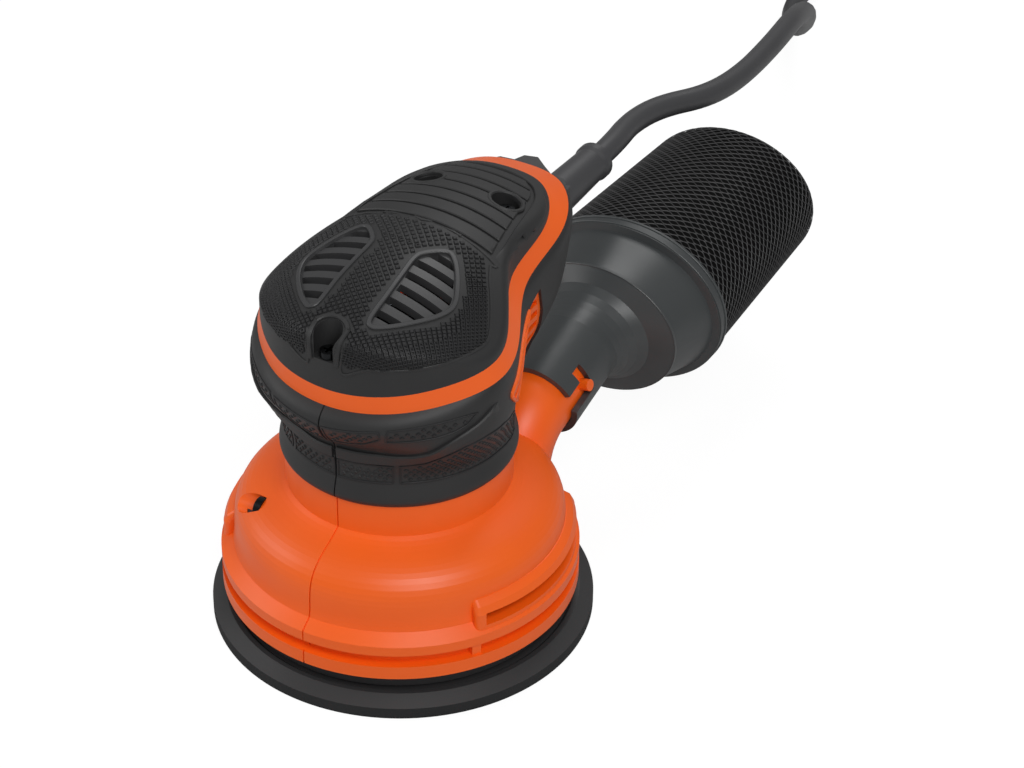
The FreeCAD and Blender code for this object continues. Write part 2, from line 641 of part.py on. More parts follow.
def end_bracket():
    """Plate on the motor tube that carries the brushes and the upper bearing's bridge."""
    bore = S.commutator_radius + 2.5
    plate = revolved([(bore, PLATE_LEVEL - END_PLATE), (S.tube_radius, PLATE_LEVEL - END_PLATE),
                      (S.tube_radius, PLATE_LEVEL), (bore, PLATE_LEVEL)])
    seat = S.upper_bearing_outer / 2
    ring = revolved([(seat, UPPER_BEARING_BOTTOM), (seat + 2.5, UPPER_BEARING_BOTTOM),
                     (seat + 2.5, UPPER_BEARING_TOP), (seat, UPPER_BEARING_TOP)])
    reach = S.tube_radius * 0.72
    bar = box(-4, 4, -float(reach), float(reach), UPPER_BEARING_BOTTOM, UPPER_BEARING_TOP - 1.5)
    bar = bar.cut(cylinder(seat + 1, 40, Vector(0, 0, float(UPPER_BEARING_BOTTOM) - 10)))
    columns = [box(-4, 4, side * float(reach) - 2.5, side * float(reach) + 2.5,
                   PLATE_LEVEL - 1, UPPER_BEARING_TOP - 1.5) for side in (-1, 1)]
    return only_solid(plate.fuse([ring, bar] + columns).removeSplitter())


def brush_gear():
    """Brass holders, carbon brushes and their springs, left and right of the commutator."""
    half_w = float(S.brush_width) / 2
    half_h = float(S.brush_height) / 2
    wall = float(S.holder_wall)
    middle = float(BRUSH_MIDDLE)
    tip = float(S.commutator_radius) + 0.3
    back = tip + float(S.brush_length)
    slack = 0.1
    holder_start = tip + 2.0
    holder_end = back + 4.5
    shell = box(holder_start, holder_end, -half_w - wall, half_w + wall, middle - half_h - wall, middle + half_h + wall)
    hollow = box(holder_start - 1, holder_end - wall, -half_w - slack, half_w + slack,
                 middle - half_h - slack, middle + half_h + slack)
    holder = only_solid(shell.cut(hollow))
    brush = box(tip, back, -half_w, half_w, middle - half_h, middle + half_h)
    face = cylinder(S.commutator_radius + 0.3, 40, Vector(0, 0, middle - 20))
    brush = only_solid(brush.cut(face))
    spring = brush_spring(back, holder_end - wall, middle)
    formed("brush_holders", Part.makeCompound([holder, mirrored(holder)]))
    formed("carbon_brushes", Part.makeCompound([brush, mirrored(brush)]))
    formed("brush_springs", Part.makeCompound([spring, mirrored(spring)]))


def brush_spring(start, end, middle):
    """A short conical spring stood in by a stepped disc stack on one core."""
    turns = 3
    pitch = (end - start) / turns
    pieces = [cylinder(1.0, end - start, Vector(start, 0, middle), Vector(1, 0, 0))]
    for index in range(turns):
        base = Vector(start + pitch * (index + 0.25), 0, middle)
        pieces.append(cylinder(2.4, pitch * 0.5, base, Vector(1, 0, 0)))
    return only_solid(pieces[0].fuse(pieces[1:]).removeSplitter())


# ---------------------------------------------------------------- head outlines and lofts

def head_outline(radius, front, waist, back, tail):
    """Right half of a head outline, front to back, as (x, y) points.

    A round front, a straight run in to the waist, and a squarish half ellipse round the tail.
    """
    centre = radius - front
    points = [(radius * math.cos(math.radians(a)), centre + radius * math.sin(math.radians(a)))
              for a in (-90, -65, -40, -15)]
    points[0] = (0.0, -front)
    shoulder = points[-1]
    points.append(((shoulder[0] + waist) / 2 + float(S.waist_fill), (shoulder[1] + tail) / 2 - 1.5))
    power = 2 / float(S.tail_square)
    for a in (0, 22.5, 45, 67.5):
        across, along = math.cos(math.radians(a)), math.sin(math.radians(a))
        points.append((waist * across ** power, tail + (back - tail) * along ** power))
    return points + [(0.0, back)]


def whole_loop(half):
    """Both sides of an outline, as one closed list."""
    return half + [(-x, y) for x, y in reversed(half[1:-1])]


def outer_outline(inset=0.0):
    """The head's outline at the orange band's lower edge, or one set in by a wall."""
    return head_outline(float(S.band_radius) - inset, float(S.band_front) - inset,
                        float(S.band_waist) - inset, float(S.band_back) - inset, float(S.tail_place))


def lip_outline(inset=0.0):
    """The lower head's outline at its widest level, or one set in by a wall."""
    return head_outline(float(S.lip_radius) - inset, float(S.lip_front) - inset,
                        float(S.lip_waist) - inset, float(S.lip_back) - inset, float(S.tail_place))


def cover_outline(inset=0.0):
    """The palm cover's outline inside the orange band, or one set in by a wall."""
    return head_outline(float(S.band_radius - S.rim_inset) - inset,
                        float(S.band_front - S.rim_front_inset) - inset,
                        float(S.band_waist - S.rim_waist_inset) - inset,
                        float(S.band_back - S.rim_back_inset) - inset, float(S.cover_tail_place))


def tilted(points, height, tilt):
    """Lay an outline on a plane that rises towards the rear."""
    return [Vector(x, y, height + tilt * y) for x, y in points]


def blended(half, radius, front_share, side_share, rear_share):
    """An outline part way from a circle to the head's outline, with its own shares round the head."""
    places = [(-1.0, front_share), (-0.5, side_share), (0.6, rear_share), (1.0, rear_share)]
    points = []
    for x, y in half:
        reach = math.hypot(x, y)
        facing = y / reach
        share = rear_share
        for (start, low), (end, high) in zip(places, places[1:]):
            if start <= facing <= end:
                step = (facing - start) / (end - start)
                share = low + (high - low) * step * step * (3 - 2 * step)
                break
        points.append((x / reach * (radius + share * (reach - radius)),
                       y / reach * (radius + share * (reach - radius))))
    return points


def lofted(sections):
    """A smooth solid through closed outlines laid on their planes."""
    wires = [smooth_loop(tilted(whole_loop(half), height, tilt)) for half, height, tilt in sections]
    return Part.makeLoft(wires, True, False)


def head_block():
    """Outside of the soft grip: neck, finger groove under the front, and the lower head."""
    half = lip_outline()
    base, top, tilt = float(S.grip_bottom), float(S.band_bottom), float(S.head_tilt)
    neck = float(NECK_RADIUS)
    rise = top - base
    # share of the height, share of the tilt, front, side and rear shares, radius over the neck's
    stations = [(0.0, 0.0, 0.0, 0.0, 0.0, 0.4), (0.07, 0.0, 0.0, 0.0, 0.0, 1.3),
                (0.18, 0.0, 0.0, 0.0, 0.08, 0.0), (0.27, 0.0, 0.0, 0.1, 0.2, -0.2),
                (0.37, 0.05, 0.0, 0.43, 0.38, 0.0), (0.47, 0.12, 0.06, 0.7, 0.57, 0.2),
                (0.57, 0.25, 0.4, 0.9, 0.77, 0.4), (0.68, 0.45, 0.72, 0.97, 0.9, 0.4),
                (0.80, 0.7, 0.93, 1.0, 0.96, 0.4), (0.91, 0.9, 1.0, 1.0, 1.0, 0.4)]
    sections = [(blended(half, neck + extra, front, side, rear), base + rise * share, tilt * lean)
                for share, lean, front, side, rear, extra in stations]
    return lofted(sections + [(outer_outline(), top, tilt)])


def head_hollow():
    """Room inside the lower head, above the neck."""
    half = lip_outline(float(S.head_wall) + 0.6)
    base, top, tilt = float(S.grip_bottom), float(S.band_bottom), float(S.head_tilt)
    radius = float(S.tube_radius) - 0.5
    rise = top - base
    stations = [(0.49, 0.15, 0.0, 0.35, 0.5), (0.60, 0.3, 0.1, 0.7, 0.8), (0.72, 0.5, 0.6, 0.9, 0.92),
                (0.83, 0.75, 0.88, 0.95, 0.95), (0.92, 0.92, 0.97, 0.97, 0.97)]
    sections = [(blended(half, radius, front, side, rear), base + rise * share, tilt * lean)
                for share, lean, front, side, rear in stations]
    return lofted(sections + [(outer_outline(float(S.head_wall)), base + rise * 1.05, tilt)])


def halves(shape):
    """The left (X below 0) and right parts of a shape split at the motor plane."""
    far = 400.0
    left = shape.common(Part.makeBox(far, 2 * far, far, Vector(-far, -far, 0)))
    right = shape.common(Part.makeBox(far, 2 * far, far, Vector(0, -far, 0)))
    return left, right


# ---------------------------------------------------------------- orange housing

def bell_points():
    """The bell's outside profile as Sizes."""
    return [(as_size(r), as_size(z)) for r, z in bell_profile()]


def bell_profile():
    """Outside of the skirt, bell and collar, bottom to top."""
    groove = S.skirt_radius - S.slot_depth
    return [(S.skirt_radius, S.ring_bottom), (S.skirt_radius, S.slot_bottom), (groove, S.slot_bottom),
            (groove, S.slot_top), (S.skirt_radius, S.slot_top), (S.skirt_radius, S.lip_top),
            (S.bell_radius, S.ledge_top)] + bell_curve() + [
            (COLLAR_RADIUS, S.collar_bottom), (COLLAR_RADIUS, S.grip_bottom), (S.tube_radius, S.grip_bottom)]


def bell_curve():
    """Points along the bell's rounded side, from over the ledge to under the collar."""
    middle = (S.bell_knee_height + S.bell_shoulder_height) / 2 + 0.4
    knots = [(S.bell_radius, S.ledge_top), (S.bell_radius - 0.6, S.bell_waist_height),
             (S.bell_knee_radius, S.bell_knee_height), (S.bell_knee_radius - 2.6, middle),
             (S.bell_shoulder_radius, S.bell_shoulder_height), (COLLAR_RADIUS, S.collar_bottom)]
    curve = Part.BSplineCurve()
    curve.interpolate([Vector(float(r), 0, float(z)) for r, z in knots])
    steps = 18
    points = [curve.value(curve.LastParameter * index / steps) for index in range(1, steps)]
    return [(point.x, point.z) for point in points]


def bell_cavity():
    """Inside of the skirt and bell up to the bulkhead over the fan."""
    wall = S.shell_wall
    skirt = S.skirt_radius - S.skirt_wall
    return [(skirt, S.ring_bottom), (skirt, S.lip_top), (S.bell_radius - wall, S.ledge_top),
            (S.bell_radius - wall - 0.6, S.bell_waist_height), (S.bell_knee_radius - wall, S.bell_knee_height),
            (S.bell_knee_radius - wall - 0.6, BAFFLE_TOP)]


def housing_shell():
    """Skirt, bell, collar and motor tube in one moulding, before it is split."""
    tube_top = PLATE_LEVEL - END_PLATE
    seat = S.lower_bearing_outer / 2
    web = LOWER_BEARING_TOP - S.shell_wall
    outside = bell_profile() + [(S.tube_radius, tube_top), (MOTOR_BORE, tube_top)]
    inside = [(MOTOR_BORE, LOWER_BEARING_TOP), (seat, LOWER_BEARING_TOP), (seat, LOWER_BEARING_BOTTOM),
              (seat + 3, LOWER_BEARING_BOTTOM), (seat + 3, web), (MOTOR_BORE, web),
              (S.bell_shoulder_radius - 4, BAFFLE_TOP)]
    shell = revolved(outside + inside + list(reversed(bell_cavity())))
    air = [cylinder(3.6, 12, Vector(22.5 * math.cos(a), 22.5 * math.sin(a), float(web) - 4))
           for a in (math.radians(30 + 60 * index) for index in range(6))]
    return shell.cut(air)


def slot_posts():
    """Posts that bridge the dust slot."""
    groove = S.skirt_radius - S.slot_depth
    half = float(S.post_width) / 2
    posts = []
    for angle in (-34, 34, 146, 214):
        post = box(float(groove) - 1, float(S.skirt_radius) - 0.8, -half, half, S.slot_bottom - 0.5, S.slot_top + 0.5)
        post.rotate(Vector(), Vector(0, 0, 1), angle)
        posts.append(post)
    return posts


def exhaust_cowl():
    """Raised cowl over the air outlet on the right side, and the outlet's cut."""
    start, end = float(S.exhaust_start), float(S.exhaust_end)
    inner = S.bell_knee_radius - S.shell_wall - 1
    roof = S.exhaust_roof
    floor = S.lip_top - 1
    outer = S.skirt_radius - 1.0
    radii = [(inner, floor), (outer, floor), (outer, roof - 4), (outer - 1.2, roof - 1.6),
             (outer - 3.4, roof), (inner, roof + 1.5)]
    points = [Vector(float(r), 0, float(z)) for r, z in radii]
    profile = Part.Face(Part.makePolygon(points + points[:1]))
    cowl = profile.revolve(Vector(), Vector(0, 0, 1), end - start)
    ends = [edge for edge in cowl.Edges if abs(edge.BoundBox.Center.z - float(floor)) > 0.5
            and math.hypot(edge.CenterOfMass.x, edge.CenterOfMass.y) > float(inner) + 1
            and len(edge.Vertexes) == 2 and edge.Length < 20]
    cowl = cowl.makeFillet(2.0, ends)
    cowl.rotate(Vector(), Vector(0, 0, 1), start)
    slot_low = S.lip_top + 2.4
    cut = sector(inner - 4, S.skirt_radius + 5, slot_low, slot_low + S.exhaust_slot_height, start + 3.5, end - 3.5)
    return cowl, cut


def duct_route():
    """Centre line of the dust duct: up out of the bell, then along the collar's axis."""
    along, mouth = collar_axis()
    end = mouth + along * float(S.spout_reach)
    bend = mouth - along * (float(S.duct_radius) * 0.95)
    foot = Vector(float(S.duct_place), bend.y - float(S.duct_radius) * 0.5, float(S.lip_top) + 3.6)
    return foot, bend, end


def collar_axis():
    """Direction of the spout and collar, and the centre of the collar's open end."""
    tilt = math.radians(float(S.spout_tilt))
    mouth = Vector(float(S.duct_place), float(S.spout_place), float(S.spout_height))
    return Vector(0, math.cos(tilt), math.sin(tilt)), mouth


def swept_tube(radius, points, bend_radii):
    """A round bar along straight runs joined by arcs."""
    path = Part.Wire(rounded_path(points, bend_radii))
    ring = Part.Wire(Part.makeCircle(float(radius), points[0], points[1] - points[0]))
    return path.makePipeShell([ring], True, True)


def rounded_path(points, radii):
    """Straight runs joined by tangent arcs; radii holds one radius per inner point."""
    edges = []
    start = points[0]
    for index in range(1, len(points) - 1):
        corner = points[index]
        back = (points[index - 1] - corner).normalize()
        ahead = (points[index + 1] - corner).normalize()
        half_turn = (math.pi - back.getAngle(ahead)) / 2
        radius = radii[index - 1]
        reach = radius * math.tan(half_turn)
        into, out = corner + back * reach, corner + ahead * reach
        centre_way = (back + ahead).normalize()
        middle = corner + centre_way * (radius / math.cos(half_turn) - radius)
        edges.append(Part.LineSegment(start, into).toShape())
        edges.append(Part.Arc(into, middle, out).toShape())
        start = out
    edges.append(Part.LineSegment(start, points[-1]).toShape())
    return edges


def duct_solids():
    """Outside and bore of the dust duct."""
    foot, bend, end = duct_route()
    along = (end - bend).normalize()
    outer = float(S.duct_radius)
    bore = outer - float(S.duct_wall)
    outside = swept_tube(outer, [foot, bend, end], [outer * 1.3])
    inside = swept_tube(bore, [foot, bend, end + along], [outer * 1.3])
    return outside, inside


def bayonet_peg():
    """Peg on the spout that the collar hooks onto."""
    along, mouth = collar_axis()
    out = Rotation(along, -float(S.peg_angle)).multVec(Vector(1, 0, 0))
    start = float(S.duct_radius) - 1
    reach = S.collar_tube_wall + S.collar_bore_gap + 1 + 1.2
    return cylinder(S.peg_diameter / 2, reach, mouth + along * float(S.peg_reach) + out * start, out)


def shell_screw_spots():
    """Where the axes of the screws that join the shells cross their seats."""
    x, z = -float(S.shell_screw_seat), float(S.shell_screw_height)
    return [Vector(x, -float(S.front_screw_place), z), Vector(x, float(S.rear_screw_place), z)]


def shell_screws():
    """Pan-head screws driven from the left shell into the right."""
    screws = []
    radius = S.shell_screw_head / 2
    length = S.shell_screw_seat * 1.7
    for spot in shell_screw_spots():
        head = cylinder(radius, 2.4, spot, Vector(-1, 0, 0))
        shank = cylinder(S.shell_screw_diameter / 2, length, spot, Vector(1, 0, 0))
        slot = box(-3.4, -1.2, -0.5, 0.5, -float(radius) * 0.6, float(radius) * 0.6)
        slot.translate(spot)
        screws.append(only_solid(head.fuse(shank).cut(slot).removeSplitter()))
    formed("housing_screws", Part.makeCompound(screws))


def housing():
    """Left and right orange shells."""
    cowl, outlet = exhaust_cowl()
    cavity = revolved([(0, S.ring_bottom - 1), (0, BAFFLE_TOP)] + list(reversed(bell_cavity()))
                      + [(S.skirt_radius - S.skirt_wall, S.ring_bottom - 1)])
    shell = housing_shell()
    bosses = []
    for spot in shell_screw_spots():
        boss = cylinder(S.shell_screw_diameter / 2 + 1, S.shell_screw_seat * 2, spot, Vector(1, 0, 0))
        bosses.append(boss.common(cylinder(S.bell_shoulder_radius - 2, 80)))
    shell = shell.fuse(slot_posts() + [cowl.cut(cavity), mirrored(cowl).cut(cavity)] + bosses)
    shell = shell.cut([outlet, mirrored(outlet)])
    for spot in shell_screw_spots():
        shell = shell.cut(cylinder(S.shell_screw_head / 2 + 0.2, 40, spot, Vector(-1, 0, 0)))
        shell = shell.cut(cylinder(S.shell_screw_diameter / 2, S.shell_screw_seat * 1.7, spot, Vector(1, 0, 0)))
    outside, inside = duct_solids()
    core = cylinder(S.bell_shoulder_radius - 6, S.bell_shoulder_height, Vector())
    duct = outside.cut(cavity.fuse(core))
    shell = shell.fuse(duct).fuse(bayonet_peg()).cut(inside)
    core = revolved([(0, S.ring_bottom)] + [(r - S.seam_depth, z) for r, z in bell_points()]
                    + [(0, S.grip_bottom)])
    shell = shell.cut(front_seam(core, S.ring_bottom, S.grip_bottom))
    left, right = halves(shell)
    formed("housing_left", biggest(left))
    formed("housing_right", biggest(right))


def biggest(shape):
    """The largest solid of a shape."""
    return max(shape.Solids, key=lambda solid: solid.Volume)


def grip():
    """Left and right soft grips, with openings for the air grilles, the cord guard and the switch."""
    body = head_block().cut(head_hollow())
    body = body.cut(cylinder(S.tube_radius, 60, Vector(0, 0, float(S.grip_bottom) - 1)))
    body = body.cut([louvre_window(0.0), mirrored(louvre_window(0.0))])
    back = float(S.band_back)
    guard = cylinder(S.guard_base / 2, 40, Vector(0, back - 20, float(S.guard_height)), Vector(0, 1, 0))
    body = body.cut([guard, switch_block(0.0)])
    shrink = FreeCAD.Matrix()
    share = 1 - float(S.seam_depth) / float(S.lip_front)
    shrink.scale(share, share, 1)
    core = head_block().transformGeometry(shrink)
    body = body.cut(front_seam(core, float(S.grip_bottom) - 1, float(S.band_bottom)))
    left, right = halves(body)
    formed("grip_left", biggest(left))
    formed("grip_right", biggest(right))


def front_seam(core, low, high):
    """Shallow groove in the plane X = 0 down the front, outside a core form."""
    half = float(S.seam_width) / 2
    return box(-half, half, -80, -20, low, high).cut(core)


def louvre_window(inset):
    """A prism through the right side wall in the outline of the air grille, set in by a margin."""
    corners = [(12.5, 86.5), (39.4, 86.7), (40.8, 89.5), (40.2, 99.5), (37, 109.6), (29, 107.2)]
    middle_y = sum(y for y, z in corners) / len(corners)
    middle_z = sum(z for y, z in corners) / len(corners)
    points = []
    for y, z in corners:
        share = 1 - inset / math.hypot(y - middle_y, z - middle_z)
        points.append(Vector(12, middle_y + (y - middle_y) * share, middle_z + (z - middle_z) * share))
    return Part.Face(Part.makePolygon(points + points[:1])).extrude(Vector(40, 0, 0))


def louvres():
    """Orange air grilles in the sides of the head: a frame with slanted ribs."""
    skin = head_block().cut(head_hollow()).common(louvre_window(0.0))
    skin.translate(Vector(-1.0, 0, 0))
    tube = cylinder(S.tube_radius + 0.3, 80, Vector(0, 0, float(S.grip_bottom)))
    plate = skin.common(louvre_window(0.0)).cut(tube)
    inner = louvre_window(2.2)
    slots = []
    for index in range(6):
        low = 86.5 + index * 4.4
        bar = box(12, 52, 0, 60, low, low + 2.3)
        bar.rotate(Vector(0, 30, low), Vector(1, 0, 0), -7)
        slots.append(bar.common(inner))
    plate = biggest(plate.cut(slots))
    formed("air_grille_right", plate)
    formed("air_grille_left", mirrored(plate))


# ---------------------------------------------------------------- cap and palm cover

def prism(half, low, high, tilt):
    """A prism over a head outline between two tilted planes."""
    bottom = smooth_loop(tilted(whole_loop(half), low, tilt))
    return Part.Face(bottom).extrude(Vector(0, 0, high - low))


def arc_radius(half_chord, height):
    """Radius of an arc from half its chord and its height."""
    return (half_chord * half_chord + height * height) / (height * 2)


COVER_LOW = S.band_bottom + S.band_height
DOME_PEAK = COVER_LOW + S.head_tilt * S.dome_peak_place + S.dome_rise
COVER_BACK = S.band_back - S.rim_back_inset
DOME_REAR_DROP = DOME_PEAK - COVER_LOW - S.head_tilt * COVER_BACK - S.dome_rear_rise
DOME_LENGTH_RADIUS = arc_radius(COVER_BACK - S.dome_peak_place, DOME_REAR_DROP)
DOME_AT_AXIS = DOME_PEAK - S.dome_peak_place * S.dome_peak_place / (DOME_LENGTH_RADIUS * 2)
DOME_WIDTH_RADIUS = arc_radius(S.band_radius - S.rim_inset, DOME_AT_AXIS - COVER_LOW - S.dome_side_rise)


def dome(sink):
    """Barrel-shaped solid whose outside is the palm cover's curve, lowered by a wall."""
    width = float(DOME_WIDTH_RADIUS) - sink
    length = float(DOME_LENGTH_RADIUS) - sink
    centre = Vector(0, float(S.dome_peak_place), float(DOME_PEAK) - float(DOME_LENGTH_RADIUS))
    return Part.makeTorus(length - width, width, centre, Vector(1, 0, 0))


def cover_solid(inset):
    """The palm cover's outer form, or the same set in by a wall."""
    low = float(COVER_LOW)
    start = low if inset == 0.0 else low - 3.0
    block = prism(cover_outline(inset), start, low + 45, float(S.head_tilt))
    form = biggest(block.common(dome(inset)))
    if inset == 0.0:
        edges = [edge for edge in form.Edges if edge.CenterOfMass.z > low + 8]
        form = form.makeFillet(float(S.cover_fillet), edges)
    return form


def cover_wells():
    """Centre and floor height of the three screw wells, rear two and front one."""
    side, rear, front = float(S.well_spacing) / 2, float(S.well_place), -float(S.front_well_place)
    floor = plane_height(rear, float(S.well_floor))
    return [(-side, rear, floor), (side, rear, floor),
            (0.0, front, plane_height(front, float(S.front_well_floor)))]


def plane_height(y, above=0.0):
    """Height of the palm cover's seat at a place along Y."""
    return float(COVER_LOW) + float(S.head_tilt) * y + above


def palm_cover():
    """Soft domed cover with screw wells and openings for the two grilles."""
    outer = cover_solid(0.0)
    leaf = leaf_prism(0.0)
    shell = outer.cut(cover_solid(float(S.cover_wall))).cut(leaf).cut(mirrored(leaf))
    radius = float(S.well_diameter) / 2
    for x, y, floor in cover_wells():
        post = cylinder(radius + 1.8, 60, Vector(x, y, float(COVER_LOW) - 20)).common(outer)
        shell = shell.fuse(post).cut(cylinder(radius, 60, Vector(x, y, floor)))
        shell = shell.cut(cylinder(S.shell_screw_diameter / 2, 40, Vector(x, y, floor - 30)))
    return biggest(shell)


def leaf_outline():
    """Right grille's outline in plan: straight inner edge, point at the rear, round outer edge."""
    return [(10.6, -32.0), (8.7, -29.5), (8.5, -20.0), (8.0, -10.0), (7.6, -2.5), (9.0, 1.5), (14.2, 6.4),
            (18.2, 4.9), (23.2, -2.0), (26.5, -10.0), (24.3, -17.8), (18.4, -26.2), (13.4, -30.9)]


def leaf_prism(inset):
    """Upright prism in the grille's outline, set in by a margin."""
    outline = leaf_outline()
    middle_x = sum(x for x, y in outline) / len(outline)
    middle_y = sum(y for x, y in outline) / len(outline)
    points = []
    for x, y in outline:
        share = 1 - inset / math.hypot(x - middle_x, y - middle_y)
        points.append(Vector(middle_x + (x - middle_x) * share, middle_y + (y - middle_y) * share, 90))
    return Part.Face(smooth_loop(points)).extrude(Vector(0, 0, 60))


def grilles():
    """Leaf-shaped vents let into the palm cover, with cross slots."""
    sink = float(S.grille_sink)
    wall = float(S.cover_wall)
    plate = leaf_prism(0.0).common(dome(sink)).cut(dome(sink + wall))
    plate = biggest(plate)
    inner = leaf_prism(1.6)
    slots = []
    half = float(S.grille_slot) / 2
    first = -26.4
    for index in range(int(float(S.grille_slots))):
        middle = first + index * float(S.grille_pitch)
        slots.append(box(0, 40, middle - half, middle + half, 90, 150).common(inner))
    plate = biggest(plate.cut(slots))
    formed("vent_grille_right", plate)
    formed("vent_grille_left", mirrored(plate))


def cap():
    """Orange cap: the band between grip and cover, with the ledge and bosses inside it."""
    tilt = float(S.head_tilt)
    low, high = float(S.band_bottom), float(COVER_LOW)
    lower = smooth_loop(tilted(whole_loop(outer_outline()), low, tilt))
    upper = smooth_loop(tilted(whole_loop(cover_outline()), high, tilt))
    band = Part.makeLoft([lower, upper], True, True)
    opening = prism(cover_outline(7.0), low - 5, high + 5, tilt)
    slab = prism(cover_outline(1.0), low, high, tilt)
    pieces = []
    for x, y, floor in cover_wells():
        pieces.append(cylinder(4.2, 14, Vector(x, y, plane_height(y, -11))).common(
            prism(cover_outline(1.0), low - 11, high, tilt)))
    web = box(-60, 60, float(S.well_place) - 5, float(S.well_place) + 5, 60, 160).common(slab)
    body = band.cut(opening).fuse(pieces + [web])
    for x, y, floor in cover_wells():
        body = body.cut(cylinder(S.shell_screw_diameter / 2, 40, Vector(x, y, plane_height(y, -9))))
    formed("cap_base", biggest(body))


def cap_screws():
    """Three screws that hold cap and cover down."""
    screws = []
    for x, y, height in cover_wells():
        floor = Vector(x, y, height)
        head = cylinder(2.75, 2.2, floor)
        shank = cylinder(S.shell_screw_diameter / 2, height - plane_height(y, -9), floor, Vector(0, 0, -1))
        cross = box(-1.8, 1.8, -0.4, 0.4, 1.2, 3).fuse(box(-0.4, 0.4, -1.8, 1.8, 1.2, 3))
        cross.translate(floor)
        screws.append(only_solid(head.fuse(shank).cut(cross).removeSplitter()))
    formed("cap_screws", Part.makeCompound(screws))


# ---------------------------------------------------------------- switch, cord guard

def switch_block(margin):
    """Outer block of the switch frame in the tail's back wall."""
    half = float(S.switch_length) / 2 + 2.5
    back = float(S.band_back) + 1.5
    depth = float(S.switch_depth) / 2
    height = float(S.switch_height)
    return box(-half - margin, half + margin, back - 9, back + margin, height - depth - 0.5, height + depth + 0.5)


def switch():
    """Frame, hidden switch and the booted rocker."""
    back = float(S.band_back) + 1.5
    height = float(S.switch_height)
    depth = float(S.switch_depth) / 2
    reach = float(S.switch_length) / 2
    hub = 5.0
    pivot = Vector(0, back - 1.5, 0)
    block = switch_block(0.0)
    pocket = cylinder(hub + 0.4, 2 * depth, Vector(pivot.x, pivot.y, height - depth))
    frame = block.cut(pocket)
    formed("switch_frame", only_solid(frame))
    inner = box(-10, 10, back - 24, back - 9, height - depth + 1, height + depth - 1)
    formed("switch_body", inner)
    outline = [(-reach - 0.5, back + 5.0), (0.5 - reach, back + 6.3), (-8.5, back + 7.0), (-7, back + 11),
               (-2.5, back + 12.2), (2.5, back + 8), (6.6, back + 4.8), (11.6, back + 4.2),
               (reach - 0.4, back + 2.2), (reach - 0.4, back + 1.0), (0, back + 1.3)]
    points = [Vector(x, y, height - depth + 0.4) for x, y in outline]
    wings = Part.Face(Part.makePolygon(points + points[:1])).extrude(Vector(0, 0, 2 * depth - 0.8))
    core = cylinder(hub, 2 * depth - 0.8, Vector(pivot.x, pivot.y, height - depth + 0.4))
    formed("switch_rocker", only_solid(wings.fuse(core).removeSplitter()))


def cord_guard():
    """Tapered rubber strain relief with a bead at its end; it sits in the tail's back wall."""
    start = S.band_back - 12
    length = S.guard_end - start
    base, tip, bead = S.guard_base / 2, S.guard_tip / 2, S.guard_bead / 2
    guard = turned("cord_guard", [
        (0, 0), (base - 1, 0), (base - 1, 3), (base, 3), (base, 14), (tip, length - 5), (bead, length - 3.5),
        (bead, length - 1), (bead - 1, length), (0, length)])
    place(guard, y=start, z=S.guard_height, axis=Vector(1, 0, 0), angle=-90)
    half = float(base)
    middle = float(S.guard_height)
    clamp = box(-half - 1, half + 1, float(start) - 8, float(start), middle - half + 3, middle + half - 2)
    groove = cylinder(S.cord_diameter / 2, 30, Vector(0, float(start) - 20, middle), Vector(0, 1, 0))
    formed("cord_clamp", only_solid(clamp.cut(groove)))


# ---------------------------------------------------------------- baffle and seal

def baffle():
    """Plate between the fan and the motor, open in the middle for the cooling air."""
    outer = S.bell_knee_radius - S.shell_wall - 0.7
    plate = turned("motor_baffle", [
        (S.lower_bearing_outer / 2 + 5, 0), (outer, 0), (outer, S.baffle_thickness),
        (S.lower_bearing_outer / 2 + 5, S.baffle_thickness)])
    place(plate, z=BAFFLE_BOTTOM)


def seal():
    """Rubber ring in the skirt that brakes and seals against the pad plate."""
    outer = S.skirt_radius - S.skirt_wall
    low = PLATE_TOP + S.seal_gap
    ring = turned("platen_seal", [
        (outer - 2.5, S.ring_bottom - low - 1.5), (outer - 1.0, 0), (outer + 1.6, 0),
        (outer + 3.6, S.ring_bottom - low), (outer, S.ring_bottom - low), (outer, S.ring_bottom - low + 3.5),
        (outer - 2.5, S.ring_bottom - low + 3.5)])
    place(ring, z=low)


# ---------------------------------------------------------------- dust collar and canister

def oval(half_width, half_height, y, height, lean=0.0):
    """A closed oval wire across the canister, leaning back by degrees about its centre."""
    centre = Vector(float(S.duct_place), y, height)
    points = []
    for index in range(20):
        angle = 2 * math.pi * index / 20
        up = half_height * math.sin(angle)
        points.append(centre + Vector(half_width * math.cos(angle), -up * math.sin(math.radians(lean)),
                                      up * math.cos(math.radians(lean))))
    return smooth_loop(points)


def stacked(ovals):
    """A solid through a stack of ovals, straight from each to the next."""
    return Part.makeLoft(ovals, True, True)


